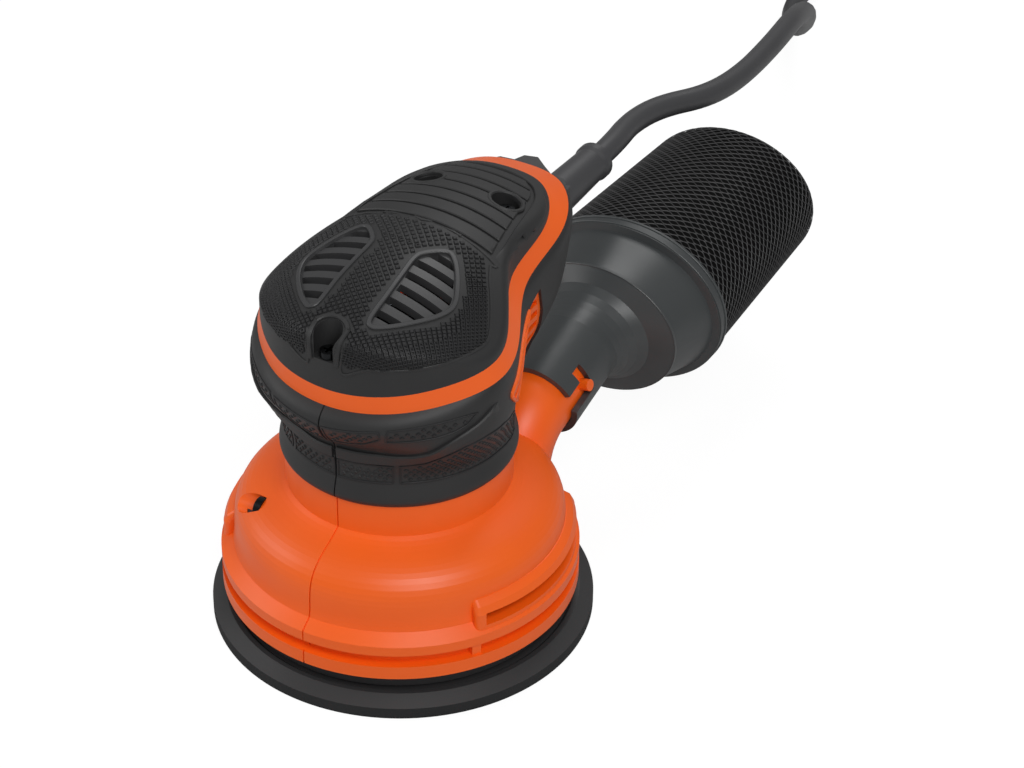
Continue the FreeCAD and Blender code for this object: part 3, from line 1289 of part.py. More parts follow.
def collar_form(inset, tube):
    """Tube, flared funnel, dish and rim as one solid, or the same set in by a wall."""
    along, mouth = collar_axis()
    joint = mouth + along * float(S.collar_tube_length)
    start = mouth - along * (2.0 if inset else 0.0)
    edge_w, edge_h = float(S.funnel_half_width) - inset, float(S.funnel_half_height) - inset
    rim_w, rim_h = float(S.rim_half_width) - inset, float(S.rim_half_height) - inset
    edge, rim = float(S.funnel_place) + inset * 0.5, float(S.rim_place)
    level = float(S.rim_height)
    dish = rim - float(S.rim_depth)
    lean = float(S.spout_tilt)
    ovals = [oval(tube, tube, start.y, start.z, lean)]
    steps = 6
    for index in range(steps + 1):
        share = index / steps
        swell = 1 - math.sqrt(1 - share ** 2)
        ovals.append(oval(tube + (edge_w - tube) * swell, tube + (edge_h - tube) * swell,
                          joint.y + (edge - joint.y) * share, joint.z + (level - joint.z) * share,
                          lean * (1 - share)))
    ovals += [oval(edge_w, edge_h, edge + 1.5, level), oval(rim_w - 2.6, rim_h - 2.6, dish + inset * 0.5, level),
              oval(rim_w, rim_h, dish + 0.5 + inset * 0.5, level), oval(rim_w, rim_h, rim + inset, level)]
    return stacked(ovals)


def collar():
    """Smoky dust collar: hooked tube, funnel, dish and rim."""
    bore = float(S.duct_radius + S.collar_bore_gap)
    outer = bore + float(S.collar_tube_wall)
    body = collar_form(0.0, outer).cut(collar_form(float(S.canister_wall), bore))
    formed("dust_collar", biggest(body.cut(hook_slot(outer))))


def hook_slot(outer):
    """L-shaped slot in the collar tube: in along the tube, then sideways under the hook."""
    gap = 0.35
    peg = float(S.peg_diameter) / 2 + gap
    reach = float(S.peg_reach)
    centre = float(S.peg_angle)
    half = math.degrees(peg / (outer - 1.0))
    entry = collar_sector(outer, -1, reach + peg, centre + float(S.twist_travel) - half, centre + float(S.twist_travel) + half + 9)
    sideways = collar_sector(outer, reach - peg, reach + peg, centre - half, centre + float(S.twist_travel) + half + 9)
    return entry.fuse(sideways)


def collar_sector(outer, start, end, low, high):
    """A slice of the collar tube's wall between two angles above the horizontal."""
    along, mouth = collar_axis()
    piece = sector(outer - 4.5, outer + 3, 0, end - start, low, high)
    up = Vector(1, 0, 0).cross(along)
    piece.Placement = Placement(mouth + along * end, Rotation(Vector(1, 0, 0), up, -along, "ZXY"))
    return piece


def cup_form(inset):
    """The mesh cup's outside, or the same set in by a wall."""
    mouth = float(S.rim_place) + 0.4
    end = mouth + float(S.canister_length) - inset
    level = float(S.rim_height)
    wide = float(S.rim_half_width) - 1.2 - inset
    high = float(S.rim_half_height) - 1.2 - inset
    rounding = float(S.cup_rounding) - inset
    narrowing = (1 - float(S.canister_taper)) / float(S.canister_length)
    ovals = [oval(wide, high, mouth - (1.0 if inset else 0.0), level)]
    for angle in (0, 25, 50, 75):
        y = end - rounding * (1 - math.sin(math.radians(angle)))
        draw_in = rounding * (1 - math.cos(math.radians(angle)))
        share = 1 - narrowing * (y - mouth)
        ovals.append(oval(wide * share - draw_in, high * share - draw_in, y, level))
    draw_in = rounding
    share = float(S.canister_taper)
    ovals.append(oval(wide * share - draw_in, high * share - draw_in, end, level))
    return stacked(ovals)


def canister():
    """Mesh cup over a plastic frame whose front ring plugs into the collar's rim."""
    mesh = float(S.mesh_thickness)
    cup = cup_form(0.0).cut(cup_form(mesh))
    formed("filter_cup", biggest(cup))

    fit = float(S.canister_wall) + float(S.canister_fit)
    thick = float(S.frame_thickness)
    rim, level = float(S.rim_place), float(S.rim_height)
    wide, high = float(S.rim_half_width) - fit, float(S.rim_half_height) - fit
    plug_start = rim - float(S.rim_depth) + float(S.canister_wall) + 0.4
    plug = Part.Face(oval(wide, high, plug_start, level)).extrude(Vector(0, rim + 5 - plug_start, 0))
    plug = plug.common(cup_form(mesh + 0.1).fuse(
        Part.Face(oval(wide, high, plug_start - 1, level)).extrude(Vector(0, rim + 0.3 - plug_start + 1, 0))))
    hole = Part.Face(oval(wide - thick, high - thick, plug_start - 2, level)).extrude(Vector(0, 60, 0))
    skeleton = cup_form(mesh + 0.1).cut(cup_form(mesh + 0.1 + thick))
    end = rim + float(S.canister_length)
    x, length = float(S.duct_place), float(S.canister_length)
    keep = [box(-100, 100, rim + 0.3, rim + 6, 0, 120), box(-100, 100, end - 22, end - 17, 0, 120),
            box(-100, 100, rim + length * 0.4, rim + length * 0.4 + 4, 0, 120)]
    for angle in (0, 60, 120):
        rib = box(-100, 100, rim + 0.3, end - 17, -2, 2)
        rib.rotate(Vector(), Vector(0, 1, 0), angle + 30)
        rib.translate(Vector(x, 0, level))
        keep.append(rib)
    frame = skeleton.common(keep[0].fuse(keep[1:])).fuse(plug.cut(hole))
    formed("filter_frame", biggest(frame.removeSplitter()))


# ---------------------------------------------------------------- mains cord

def cord_route():
    """Centre line of the cord from the guard's end to the coil, chosen by hand."""
    x0, y0, z0 = 0.0, float(S.guard_end), float(S.guard_height)
    floor = float(S.cord_diameter) / 2
    return [Vector(x0, y0, z0), Vector(0, 141, z0), Vector(-4, 160, 99.5), Vector(-5, 180, 97),
            Vector(1, 200, 95), Vector(3, 223, 92.5), Vector(0, 256, 88), Vector(-9, 291, 77),
            Vector(-26, 326, 57), Vector(-42, 359, 33), Vector(-54, 393, 12), Vector(-62, 430, floor),
            Vector(-62, 470, floor), Vector(-52, 507, floor)]


def cord():
    """Cord, its tied coil on the floor and the moulded plug."""
    radius = float(S.cord_diameter) / 2
    points = cord_route()
    radii = []
    for index in range(1, len(points) - 1):
        before, after = points[index] - points[index - 1], points[index + 1] - points[index]
        turn = before.getAngle(after)
        radii.append(0.45 * min(before.Length, after.Length) / math.tan(turn / 2))
    print("cord bend radii", [round(r) for r in radii])
    tube = swept_tube(radius, points, radii)
    path = sum(edge.Length for edge in rounded_path(points, radii))
    print("cord length", round(path), "volume share", round(tube.Volume / (math.pi * radius ** 2 * path), 4))
    outer = float(S.coil_radius)
    inner = outer - float(S.coil_width)
    centre = Vector(points[-1].x - outer + radius, points[-1].y, 0)
    ring = revolved([(inner, 2), (inner + 2, 0), (outer - 2, 0), (outer, 2), (outer, S.coil_height - 2),
                     (outer - 2, S.coil_height), (inner + 2, S.coil_height), (inner, S.coil_height - 2)])
    ring.translate(centre)
    top = float(S.coil_height)
    middle = outer - float(S.coil_width) / 2
    rest = top + PLUG_HALF_HEIGHT
    lead = [centre + Vector(-middle, 14, top - 4.3), centre + Vector(-middle - 1.5, -12, rest),
            centre + Vector(9 - middle, -27, rest)]
    turn = (lead[1] - lead[0]).getAngle(lead[2] - lead[1])
    tail_radius = 0.95 * min((lead[1] - lead[0]).Length, (lead[2] - lead[1]).Length) / math.tan(turn / 2)
    tail = swept_tube(radius, lead, [tail_radius])
    formed("cord", Part.makeCompound([tube, tail]))
    formed("cord_coil", ring)
    formed("plug", plug(lead[2], (lead[2] - lead[1]).normalize()))


PLUG_HALF_HEIGHT = 6.5


def plug(start, way):
    """Two-blade moulded plug with its strain relief."""
    radius = float(S.cord_diameter) / 2
    relief = Part.makeCone(radius + 0.8, radius + 2.2, 12)
    body = box(-12, 12, -PLUG_HALF_HEIGHT, PLUG_HALF_HEIGHT, 12, 38)
    body = body.makeFillet(3.0, [edge for edge in body.Edges if edge.BoundBox.ZLength > 5])
    blades = [box(x - 0.75, x + 0.75, -3.1, 3.1, 36, 54) for x in (-6.35, 6.35)]
    whole = relief.fuse([body] + blades)
    whole.Placement = Placement(start, Rotation(Vector(0, 0, 1).cross(way), Vector(0, 0, 1), way, "ZXY"))
    return only_solid(whole)


def build_all():
    """Make every sub-part."""
    pad_pieces()
    formed("eccentric_weight", eccentric())
    bearing("spindle_bearing", S.spindle_bearing_outer / 2, S.spindle_diameter / 2 + S.running_clearance,
            S.spindle_bearing_height, S.orbit_offset, SPINDLE_BEARING_BOTTOM)
    formed("fan", fan())
    motor_shaft()
    armature()
    bearing("lower_bearing", S.lower_bearing_outer / 2, SHAFT_RADIUS + S.running_clearance,
            S.lower_bearing_height, 0, LOWER_BEARING_BOTTOM)
    bearing("upper_bearing", S.upper_bearing_outer / 2, S.shaft_tip_diameter / 2 + S.running_clearance,
            S.upper_bearing_height, 0, UPPER_BEARING_BOTTOM)
    field()
    formed("end_bracket", end_bracket())
    brush_gear()
    baffle()
    seal()
    housing()
    shell_screws()
    grip()
    louvres()
    cap()
    formed("palm_cover", palm_cover())
    grilles()
    cap_screws()
    switch()
    cord_guard()
    collar()
    canister()
    cord()


def check_and_write():
    """Refuse failed objects and bad shapes, then write one STEP file per sub-part."""
    failed = [item.Name for item in DOC.Objects if "Invalid" in item.State or "Error" in item.State]
    for piece in SUB_PARTS:
        if piece.Shape.isNull() or not piece.Shape.isValid() or not piece.Shape.Solids:
            failed.append(piece.Label)
    if failed:
        raise RuntimeError("failed: " + ", ".join(failed))
    os.makedirs("parts", exist_ok=True)
    for piece in SUB_PARTS:
        piece.Shape.exportStep("parts/%s.step" % piece.Label)


build_all()
DOC.recompute()
for piece in SUB_PARTS:
    bounds = piece.Shape.BoundBox
    print(piece.Label, piece.Shape.isValid(), len(piece.Shape.Solids), round(piece.Shape.Volume, 1),
          [round(v, 1) for v in (bounds.XMin, bounds.XMax, bounds.YMin, bounds.YMax, bounds.ZMin, bounds.ZMax)])
check_and_write()
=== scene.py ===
# %% [markdown]
# # A corded palm sander
# The imported CAD model gives every solid of the sander in its place, in metres. This lesson dresses
# it: moulded skins, knurled grip, woven dust cup, a real cord, and a finish for each material. We
# begin with the tools, the model, and the box that the model fills.

# %% Load the imported model
import json
import math

import bpy
import numpy as np
from mathutils import Matrix, Vector
from mathutils.bvhtree import BVHTree


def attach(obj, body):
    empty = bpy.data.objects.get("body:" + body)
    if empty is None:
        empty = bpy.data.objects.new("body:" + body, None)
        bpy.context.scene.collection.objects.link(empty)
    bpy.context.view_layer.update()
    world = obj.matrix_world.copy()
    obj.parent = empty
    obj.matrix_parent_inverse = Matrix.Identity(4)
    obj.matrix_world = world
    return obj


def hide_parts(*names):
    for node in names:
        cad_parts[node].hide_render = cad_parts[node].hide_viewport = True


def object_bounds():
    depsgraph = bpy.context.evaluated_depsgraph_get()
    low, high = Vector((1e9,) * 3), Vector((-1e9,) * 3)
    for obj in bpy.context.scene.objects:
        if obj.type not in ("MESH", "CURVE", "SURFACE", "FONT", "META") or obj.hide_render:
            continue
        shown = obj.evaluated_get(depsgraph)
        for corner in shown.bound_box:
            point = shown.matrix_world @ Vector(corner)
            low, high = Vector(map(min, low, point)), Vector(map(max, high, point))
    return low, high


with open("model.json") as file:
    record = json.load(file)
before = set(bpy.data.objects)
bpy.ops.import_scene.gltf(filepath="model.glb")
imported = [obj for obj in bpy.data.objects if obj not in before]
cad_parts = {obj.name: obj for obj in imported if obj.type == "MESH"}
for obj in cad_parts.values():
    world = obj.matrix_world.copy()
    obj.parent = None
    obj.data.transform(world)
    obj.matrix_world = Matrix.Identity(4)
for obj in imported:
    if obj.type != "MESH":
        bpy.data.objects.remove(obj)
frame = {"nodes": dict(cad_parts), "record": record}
bpy.context.scene.view_settings.view_transform = "Standard"
NODES = frame["nodes"]
CAD_BOX = [list(corner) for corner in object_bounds()]
MM = 0.001
print("CAD box in mm", [[round(v / MM) for v in corner] for corner in CAD_BOX])

# %% [markdown]
# ## The camera
# A product picture is taken from a distance with a long lens, so that the round pad keeps its
# shape. We set the camera by its place and three turns: round the sander, down towards it, and a
# slight roll. Working the three axes out by hand shows what the numbers mean, where a tracking
# constraint would hide them.

# %% Camera
AZIMUTH, ELEVATION, ROLL = (math.radians(angle) for angle in (29.575, 34.613, -0.621))
CAMERA_PLACE = (0.40719, -0.64539, 0.61129)
LENS = 103.885

right = Vector((math.cos(AZIMUTH), math.sin(AZIMUTH), 0))
ahead = Vector((-math.sin(AZIMUTH) * math.cos(ELEVATION), math.cos(AZIMUTH) * math.cos(ELEVATION),
                -math.sin(ELEVATION)))
upward = right.cross(ahead)
rolled_right = right * math.cos(ROLL) - upward * math.sin(ROLL)
rolled_up = right * math.sin(ROLL) + upward * math.cos(ROLL)

camera = bpy.data.objects.new("camera", bpy.data.cameras.new("camera"))
camera.data.lens = LENS
camera.data.clip_start, camera.data.clip_end = 0.05, 30
camera.matrix_world = Matrix.Translation(CAMERA_PLACE) @ Matrix(
    (rolled_right, rolled_up, -ahead)).transposed().to_4x4()
bpy.context.scene.collection.objects.link(camera)
bpy.context.scene.camera = camera
print("camera stands", round(camera.location.length, 2), "m from the pad")

# %% [markdown]
# ## Light
# A plain studio: one big softbox to the right of the camera, a weaker one to the left, one behind,
# and a pale world that fills the shadows. Big lamps give the broad, soft highlights that satin
# plastic shows. Their watts add up so that a surface facing the camera comes out at about the
# colour written in its material.

# %% Softboxes
HEAD = Vector((0, 0.03, 0.07))


def softbox(name, place, side, watts):
    """A square lamp at a place in metres, turned towards the head of the sander."""
    lamp = bpy.data.lights.new(name, "AREA")
    lamp.shape, lamp.size, lamp.energy = "SQUARE", side, watts
    thing = bpy.data.objects.new(name, lamp)
    thing.location = place
    thing.rotation_mode = "QUATERNION"
    thing.rotation_quaternion = (HEAD - Vector(place)).to_track_quat("-Z", "Y")
    bpy.context.scene.collection.objects.link(thing)


softbox("key_softbox", (1.0, -0.9, 1.5), 0.9, 21)
softbox("fill_softbox", (-1.45, -0.7, 0.9), 1.0, 9)
softbox("back_softbox", (-0.3, 1.3, 1.9), 1.0, 12)
print("softboxes", len(bpy.data.lights))

# %% [markdown]
# ## Writing a material
# Colours are written as sRGB hex values, as a paint chart gives them, and one function turns them
# to the linear values that the shader needs. One more function adds any node: its properties, its
# socket values and the outputs that feed it. Everything below is built from these two.


# %% Material helpers
def linear(hex_colour):
    """sRGB hex to linear RGBA.

    Each channel c is c/12.92 below 0.04045, else ((c + 0.055) / 1.055) to the power 2.4.
    """
    channels = [int(hex_colour[i:i + 2], 16) / 255 for i in (1, 3, 5)]
    return [c / 12.92 if c <= 0.04045 else ((c + 0.055) / 1.055) ** 2.4
            for c in channels] + [1.0]


def add(tree, kind, settings=(), values=(), links=()):
    """Add one node. Settings are its properties; values and links go to sockets."""
    made = tree.nodes.new("ShaderNode" + kind)
    for name, value in dict(settings).items():
        setattr(made, name, value)
    for socket, value in dict(values).items():
        made.inputs[socket].default_value = value
    for socket, output in dict(links).items():
        tree.links.new(output, made.inputs[socket])
    return made


def empty_material(name):
    """A material with an output and nothing else, and its node tree."""
    material = bpy.data.materials.new(name)
    material.use_nodes = True
    material.node_tree.nodes.clear()
    return material, material.node_tree


def coordinates(tree):
    """Object coordinates: metres on the piece itself, so a pattern stays on it."""
    return add(tree, "TexCoord").outputs["Object"]


def seen_straight(tree):
    """1 for rays that the camera sends, straight or through something clear, and else 0."""
    rays = add(tree, "LightPath").outputs
    return add(tree, "Math", {"operation": "MAXIMUM"}, {},
               {0: rays["Is Camera Ray"], 1: rays["Is Transmission Ray"]}).outputs[0]


print("white is", linear("#FFFFFF"))

# %% [markdown]
# ## World and floor
# The picture stands on plain white. To the camera the world is white, and to the sander it is only
# a pale fill, or the fill would wash the shadows out. The floor is white paper: most of what the
# camera sees of it is its own white, and the rest is lit, which keeps a faint shadow.

# %% World and floor
FILL_STRENGTH, SEEN_STRENGTH = 0.24, 1.05
PAPER_WHITE_SHARE, PAPER_WHITE_STRENGTH = 0.80, 1.16
FLOOR_HALF, FLOOR_BELOW = 9, 0.0002

world = bpy.data.worlds.new("pale_studio")
bpy.context.scene.world = world
world.use_nodes = True
tree = world.node_tree
tree.nodes.clear()
glow = add(tree, "Mix", {"data_type": "FLOAT"}, {2: FILL_STRENGTH, 3: SEEN_STRENGTH},
           {0: seen_straight(tree)})
sky = add(tree, "Background", {}, {"Color": linear("#FFFFFF")}, {"Strength": glow.outputs[0]})
add(tree, "OutputWorld", {}, {}, {"Surface": sky.outputs[0]})

paper_white, tree = empty_material("floor_paper_white")
share = add(tree, "Math", {"operation": "MULTIPLY"}, {1: PAPER_WHITE_SHARE},
            {0: seen_straight(tree)})
paper = add(tree, "BsdfDiffuse", {}, {"Color": linear("#C8C8C8")})
white = add(tree, "Emission", {},
            {"Color": linear("#FFFFFF"), "Strength": PAPER_WHITE_STRENGTH})
both = add(tree, "MixShader", {}, {},
           {0: share.outputs[0], 1: paper.outputs[0], 2: white.outputs[0]})
add(tree, "OutputMaterial", {}, {}, {"Surface": both.outputs[0]})

plane = bpy.data.meshes.new("floor")
plane.from_pydata([(x * FLOOR_HALF, y * FLOOR_HALF, 0)
                   for x, y in ((-1, -1), (1, -1), (1, 1), (-1, 1))], [], [(0, 1, 2, 3)])
plane.materials.append(paper_white)
floor = bpy.data.objects.new("floor", plane)
floor.location.z = -FLOOR_BELOW
bpy.context.scene.collection.objects.link(floor)
print("floor", 2 * FLOOR_HALF, "m square")

# %% [markdown]
# ## The finishes
# Each one starts from what the real material is and how its surface was made. A mould is
# sandblasted or eroded, and that leaves a fine grain that breaks up the highlight, so nearly every
# plastic here has a grain. The real grain is a few hundredths of a millimetre, too fine to show,
# so it is drawn at a third of one.

# %% Moulded plastics and rubbers
PATCH = 18.0
GLOSS_SWING = 0.06


def moulded(name, colour, shade, roughness, grain, depth, ior, specular=0.5):
    """A moulded surface: two close colours in soft patches, a fine bump, a wandering gloss.

    Grain is the width of one bump in millimetres, and depth its height. Specular is the share of
    mirror-like reflection, 0.5 being that of the refractive index itself.
    """
    material, tree = empty_material(name)
    place = coordinates(tree)
    clouds = add(tree, "TexNoise", {}, {"Scale": 1 / (PATCH * MM), "Detail": 2.0},
                 {"Vector": place})
    tint = add(tree, "Mix", {"data_type": "RGBA"}, {6: linear(colour), 7: linear(shade)},
               {0: clouds.outputs["Fac"]})
    bumps = add(tree, "TexNoise", {}, {"Scale": 1 / (grain * MM), "Detail": 1.5},
                {"Vector": place})
    relief = add(tree, "Bump", {}, {"Strength": 1.0, "Distance": depth * MM},
                 {"Height": bumps.outputs["Fac"]})
    gloss = add(tree, "MapRange", {},
                {"To Min": roughness - GLOSS_SWING, "To Max": roughness + GLOSS_SWING},
                {"Value": clouds.outputs["Fac"]})
    shader = add(tree, "BsdfPrincipled", {}, {"IOR": ior, "Specular IOR Level": specular},
                 {"Base Color": tint.outputs[2], "Roughness": gloss.outputs[0],
                  "Normal": relief.outputs[0]})
    add(tree, "OutputMaterial", {}, {}, {"Surface": shader.outputs[0]})
    return material


# ABS, injection moulded with a light satin grain: strong even colour, soft broad highlights
abs_orange = moulded("abs_orange_satin", "#FF680F", "#FA620C", 0.42, 0.35, 0.008, 1.53)
# thermoplastic elastomer, overmoulded in an eroded mould: dull charcoal with a dry, fine grain
elastomer = moulded("elastomer_black_matt", "#292929", "#232324", 0.54, 0.30, 0.020, 1.50)
# glass-filled nylon, moulded satin: slightly lighter and tighter than the rubber
nylon = moulded("nylon_black_satin", "#3B3B3C", "#343435", 0.46, 0.25, 0.008, 1.53)
# the pad plate's nylon, with the coarser grain of a rough mould
pad_nylon = moulded("nylon_pad_grained", "#343435", "#2C2C2D", 0.50, 0.45, 0.020, 1.53)
# plasticised PVC sheath, extruded: smooth and faintly waxy
sheath = moulded("pvc_sheath_satin", "#434345", "#3D3D3F", 0.44, 0.40, 0.003, 1.52)
# polycarbonate tinted smoke grey, satin mould: soft-edged highlights
smoked = moulded("polycarbonate_smoked", "#404344", "#383B3C", 0.40, 0.50, 0.002, 1.585)
# pressed carbon: soft black graphite with a faint grain
carbon = moulded("carbon_pressed", "#26272A", "#1D1E20", 0.60, 0.20, 0.010, 1.70)
# expanded polyurethane, cut: dead matt, with open pores
foam = moulded("polyurethane_foam", "#2A2B2C", "#222324", 0.90, 0.60, 0.150, 1.45)
# nylon hook fabric: a dense pile of tiny hooks that reads as dark fuzz
hook_pile = moulded("nylon_hook_pile", "#242526", "#161718", 0.85, 0.50, 0.300, 1.50)
# the knurled rubber, darker than the plain: painted shade for the hollows between the squares
knurl_painted_shade = moulded("elastomer_knurl_painted_shade", "#1D1D1E", "#18181A", 0.58, 0.30, 0.010, 1.50)
# painted shade for the cup's dark inside, seen through its netting: black, with hardly any
# reflection
cup_shade_sheet = moulded("cup_inside_painted_shade", "#050505", "#040404", 0.80, 0.60, 0.100, 1.50, 0.1)
# the netting's polyester thread: dark grey, with the slight sheen of its filaments
thread = moulded("polyester_thread", "#333334", "#2B2B2C", 0.55, 0.40, 0.020, 1.50)
print("moulded finishes", len(bpy.data.materials) - 1)

# %% [markdown]
# Metals are worked, not moulded, and the tool leaves fine lines: rings where a lathe turned them,
# streaks where they were drawn through a die. Stretching one noise along an axis gives all of
# these. A metal keeps the shader's own refractive index, since its colour already holds it.

# %% Metals
MARK_WIDTH = 0.4
METAL_GLOSS_SWING = 0.08


def metal(name, colour, roughness, stretch, depth):
    """A worked metal: fine lines from a noise stretched by three shares along X, Y and Z."""
    material, tree = empty_material(name)
    lines = add(tree, "Mapping", {}, {"Scale": stretch}, {"Vector": coordinates(tree)})
    marks = add(tree, "TexNoise", {}, {"Scale": 1 / (MARK_WIDTH * MM), "Detail": 2.0},
                {"Vector": lines.outputs[0]})
    relief = add(tree, "Bump", {}, {"Strength": 1.0, "Distance": depth * MM},
                 {"Height": marks.outputs["Fac"]})
    gloss = add(tree, "MapRange", {}, {"To Min": roughness - METAL_GLOSS_SWING,
                                       "To Max": roughness + METAL_GLOSS_SWING},
                {"Value": marks.outputs["Fac"]})
    shader = add(tree, "BsdfPrincipled", {}, {"Base Color": linear(colour), "Metallic": 1.0},
                 {"Roughness": gloss.outputs[0], "Normal": relief.outputs[0]})
    add(tree, "OutputMaterial", {}, {}, {"Surface": shader.outputs[0]})
    return material


# steel screws, blackened and oiled: dark, with small bright highlights on the edges
blackened = metal("steel_blackened", "#2E2F31", 0.30, (1.0, 1.0, 1.0), 0.002)
# turned and ground steel: rings round Z, so the noise is drawn thin along Z
steel = metal("steel_ground", "#9A9CA0", 0.34, (0.15, 0.15, 1.0), 0.004)
# electrical steel sheet, stacked: an edge every half millimetre along Z
laminated = metal("steel_laminated", "#6E7073", 0.46, (0.02, 0.02, 0.8), 0.030)
# enamelled copper wire, laid along Z
copper = metal("copper_enamelled", "#A85A2C", 0.32, (1.0, 1.0, 0.10), 0.060)
# drawn brass strip
brass = metal("brass_drawn", "#B8923F", 0.30, (0.10, 1.0, 1.0), 0.004)
# die-cast zinc alloy: a dull, slightly pitted skin
die_cast = metal("alloy_die_cast", "#85878A", 0.50, (0.6, 0.6, 0.6), 0.020)
print("materials in all", len(bpy.data.materials))

# %% [markdown]
# The record says which material slot each solid has, so the finishes go on by slot. Only the
# screws in the shell and the cap are an exception: they share the steel slot with the ground
# shafts, but screws that face outward are blackened against rust.

# %% Give every CAD piece its finish
# the dust cup's solid is the black sheet of painted shade seen through the netting
FINISHES = {"shell_orange": abs_orange, "soft_grip": elastomer, "black_plastic": nylon,
            "cord_rubber": sheath, "collar_smoke": smoked, "mesh": cup_shade_sheet,
            "hook_fabric": hook_pile, "pad_foam": foam, "pad_plate": pad_nylon, "steel": steel,
            "laminations": laminated, "copper": copper, "brass": brass, "carbon": carbon,
            "alloy": die_cast}
BLACKENED = ("housing_screws", "cap_screws")
for row in frame["record"]["subparts"]:
    materials = NODES[row["node"]].data.materials
    materials.clear()
    materials.append(blackened if row["node"] in BLACKENED else FINISHES[row["material_slot"]])
print("finished", len(NODES), "CAD pieces")

# %% [markdown]
# ## The cord
# A mains cord leaves the guard straight, sags to the floor under its own weight and runs off
# behind. The rest of its 1.8 m is wound into a neat coil, as for storage, with the plug resting on
# it. The line is one smooth NURBS spline: the points near the sander are listed one by one, and
# those of the coil are a spiral in two layers.

# %% Cord route
CORD_DIAMETER, CORD_LENGTH = 8.4, 1.8
FLOOR_LEVEL = CORD_DIAMETER / 2
HAND_POINTS = [(0, 129, 101.5), (0, 141, 101.5), (-3.5, 160, 99.5), (-2, 180, 97),
               (7, 199, 94.5), (9, 222, 92), (6, 255, 89), (-1, 293, 83.5), (-13.5, 331, 64.5),
               (-28, 364, 41), (-46, 395, 19), (-62, 425, 7.5), (-70.5, 455, FLOOR_LEVEL),
               (-63, 484, FLOOR_LEVEL), (-52, 507, FLOOR_LEVEL)]
COIL_CENTRE = np.array([-106.8, 507.0])
COIL_TURNS, POINTS_PER_TURN = 4.44, 14
LOWER_TURNS, CLIMB_TURNS, CLIMB_HEIGHT = 2, 0.5, 8.6
LOWER_RADIUS, LOWER_STEP, CLIMB_DIP = 54.8, 8.5, 1.8
UPPER_RADIUS, UPPER_STEP = 37.5, 8.75


def coil_points(turns):
    """Points of the coil at counts of turns from its start.

    Radius: less by an even step each turn on the floor, a half-sine dip while it climbs, then more
    by an even step each turn on top. Height: 3 t squared - 2 t cubed, with t the share climbed.
    """
    climb = np.clip((turns - LOWER_TURNS) / CLIMB_TURNS, 0, 1)
    top = LOWER_TURNS + CLIMB_TURNS
    inward = (LOWER_RADIUS - LOWER_STEP * np.minimum(turns, LOWER_TURNS)
              - CLIMB_DIP * np.sin(np.pi * climb))
    radius = np.where(turns > top, UPPER_RADIUS + UPPER_STEP * (turns - top), inward)
    height = FLOOR_LEVEL + CLIMB_HEIGHT * climb ** 2 * (3 - 2 * climb)
    angle = 2 * np.pi * turns
    return np.stack([COIL_CENTRE[0] + radius * np.cos(angle),
                     COIL_CENTRE[1] + radius * np.sin(angle), height], 1)


turns = np.linspace(0, COIL_TURNS, int(COIL_TURNS * POINTS_PER_TURN) + 1)[1:]
plug_lead = np.array([(-49.5, -12, 23.5), (-37, -27, 23.5)]) + [*COIL_CENTRE, 0]
cord_points = np.concatenate([HAND_POINTS, coil_points(turns), plug_lead]) * MM
print("cord points", len(cord_points))

# %% Cord
curve = bpy.data.curves.new("mains_cord", "CURVE")
curve.dimensions = "3D"
curve.resolution_u = 6
curve.bevel_depth = FLOOR_LEVEL * MM
curve.bevel_resolution = 5
curve.use_fill_caps = True
spline = curve.splines.new("NURBS")
spline.points.add(len(cord_points) - 1)
spline.points.foreach_set("co", np.hstack([cord_points, np.ones((len(cord_points), 1))]).ravel())
spline.order_u = 3
spline.use_endpoint_u = True
mains_cord = bpy.data.objects.new("mains_cord", curve)
bpy.context.scene.collection.objects.link(mains_cord)
curve.materials.append(sheath)
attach(mains_cord, "housing")
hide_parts("cord", "cord_coil")
print("cord", CORD_LENGTH, "m long and", CORD_DIAMETER, "mm thick")

# %% [markdown]
# ## Tools for laying detail on a surface
# Moulded grips get their texture from the mould's wall, so it follows every curve of the part. We
# do the same: a ray from outside finds the place and the normal on the CAD solid, and small forms
# are set there in rows. Each form is a grid or a profile along a path, worked out in numpy for all
# of its points at once.

# %% Rays
OVER = 200.0


def cast(names, starts, ways):
    """Where rays first meet the named CAD pieces: points in mm and normals, NaN for a miss."""
    graph = bpy.context.evaluated_depsgraph_get()
    trees = [BVHTree.FromObject(NODES[name], graph) for name in names]
    rows = []
    for start, way in zip(starts * MM, ways):
        hits = [hit for hit in (tree.ray_cast(Vector(start), Vector(way)) for tree in trees)
                if hit[0]]
        nearest = min(hits, key=lambda hit: hit[3], default=None)
        rows.append([*(nearest[0] / MM), *nearest[1]] if nearest else [math.nan] * 6)
    rows = np.array(rows)
    return rows[:, :3], rows[:, 3:]


def unit(vectors):
    """Each vector divided by its length."""
    return vectors / np.linalg.norm(vectors, axis=-1, keepdims=True)


DOWN = np.array([[0.0, 0.0, -1.0]])
print("cover on the motor axis, mm", cast(["palm_cover"], -DOWN * OVER, DOWN)[0].round(1))

# %% Grids and pieces
SHARP_ANGLE = math.radians(38)


def grid_faces(rows, columns, close_rows=False, close_columns=False):
    """Corner numbers of a grid's quads; closing a way joins its last line to its first."""
    row, column = np.meshgrid(np.arange(rows if close_rows else rows - 1),
                              np.arange(columns if close_columns else columns - 1),
                              indexing="ij")
    next_row, next_column = (row + 1) % rows, (column + 1) % columns
    corners = [row * columns + column, next_row * columns + column,
               next_row * columns + next_column, row * columns + next_column]
    return np.stack(corners, -1).reshape(-1, 4)


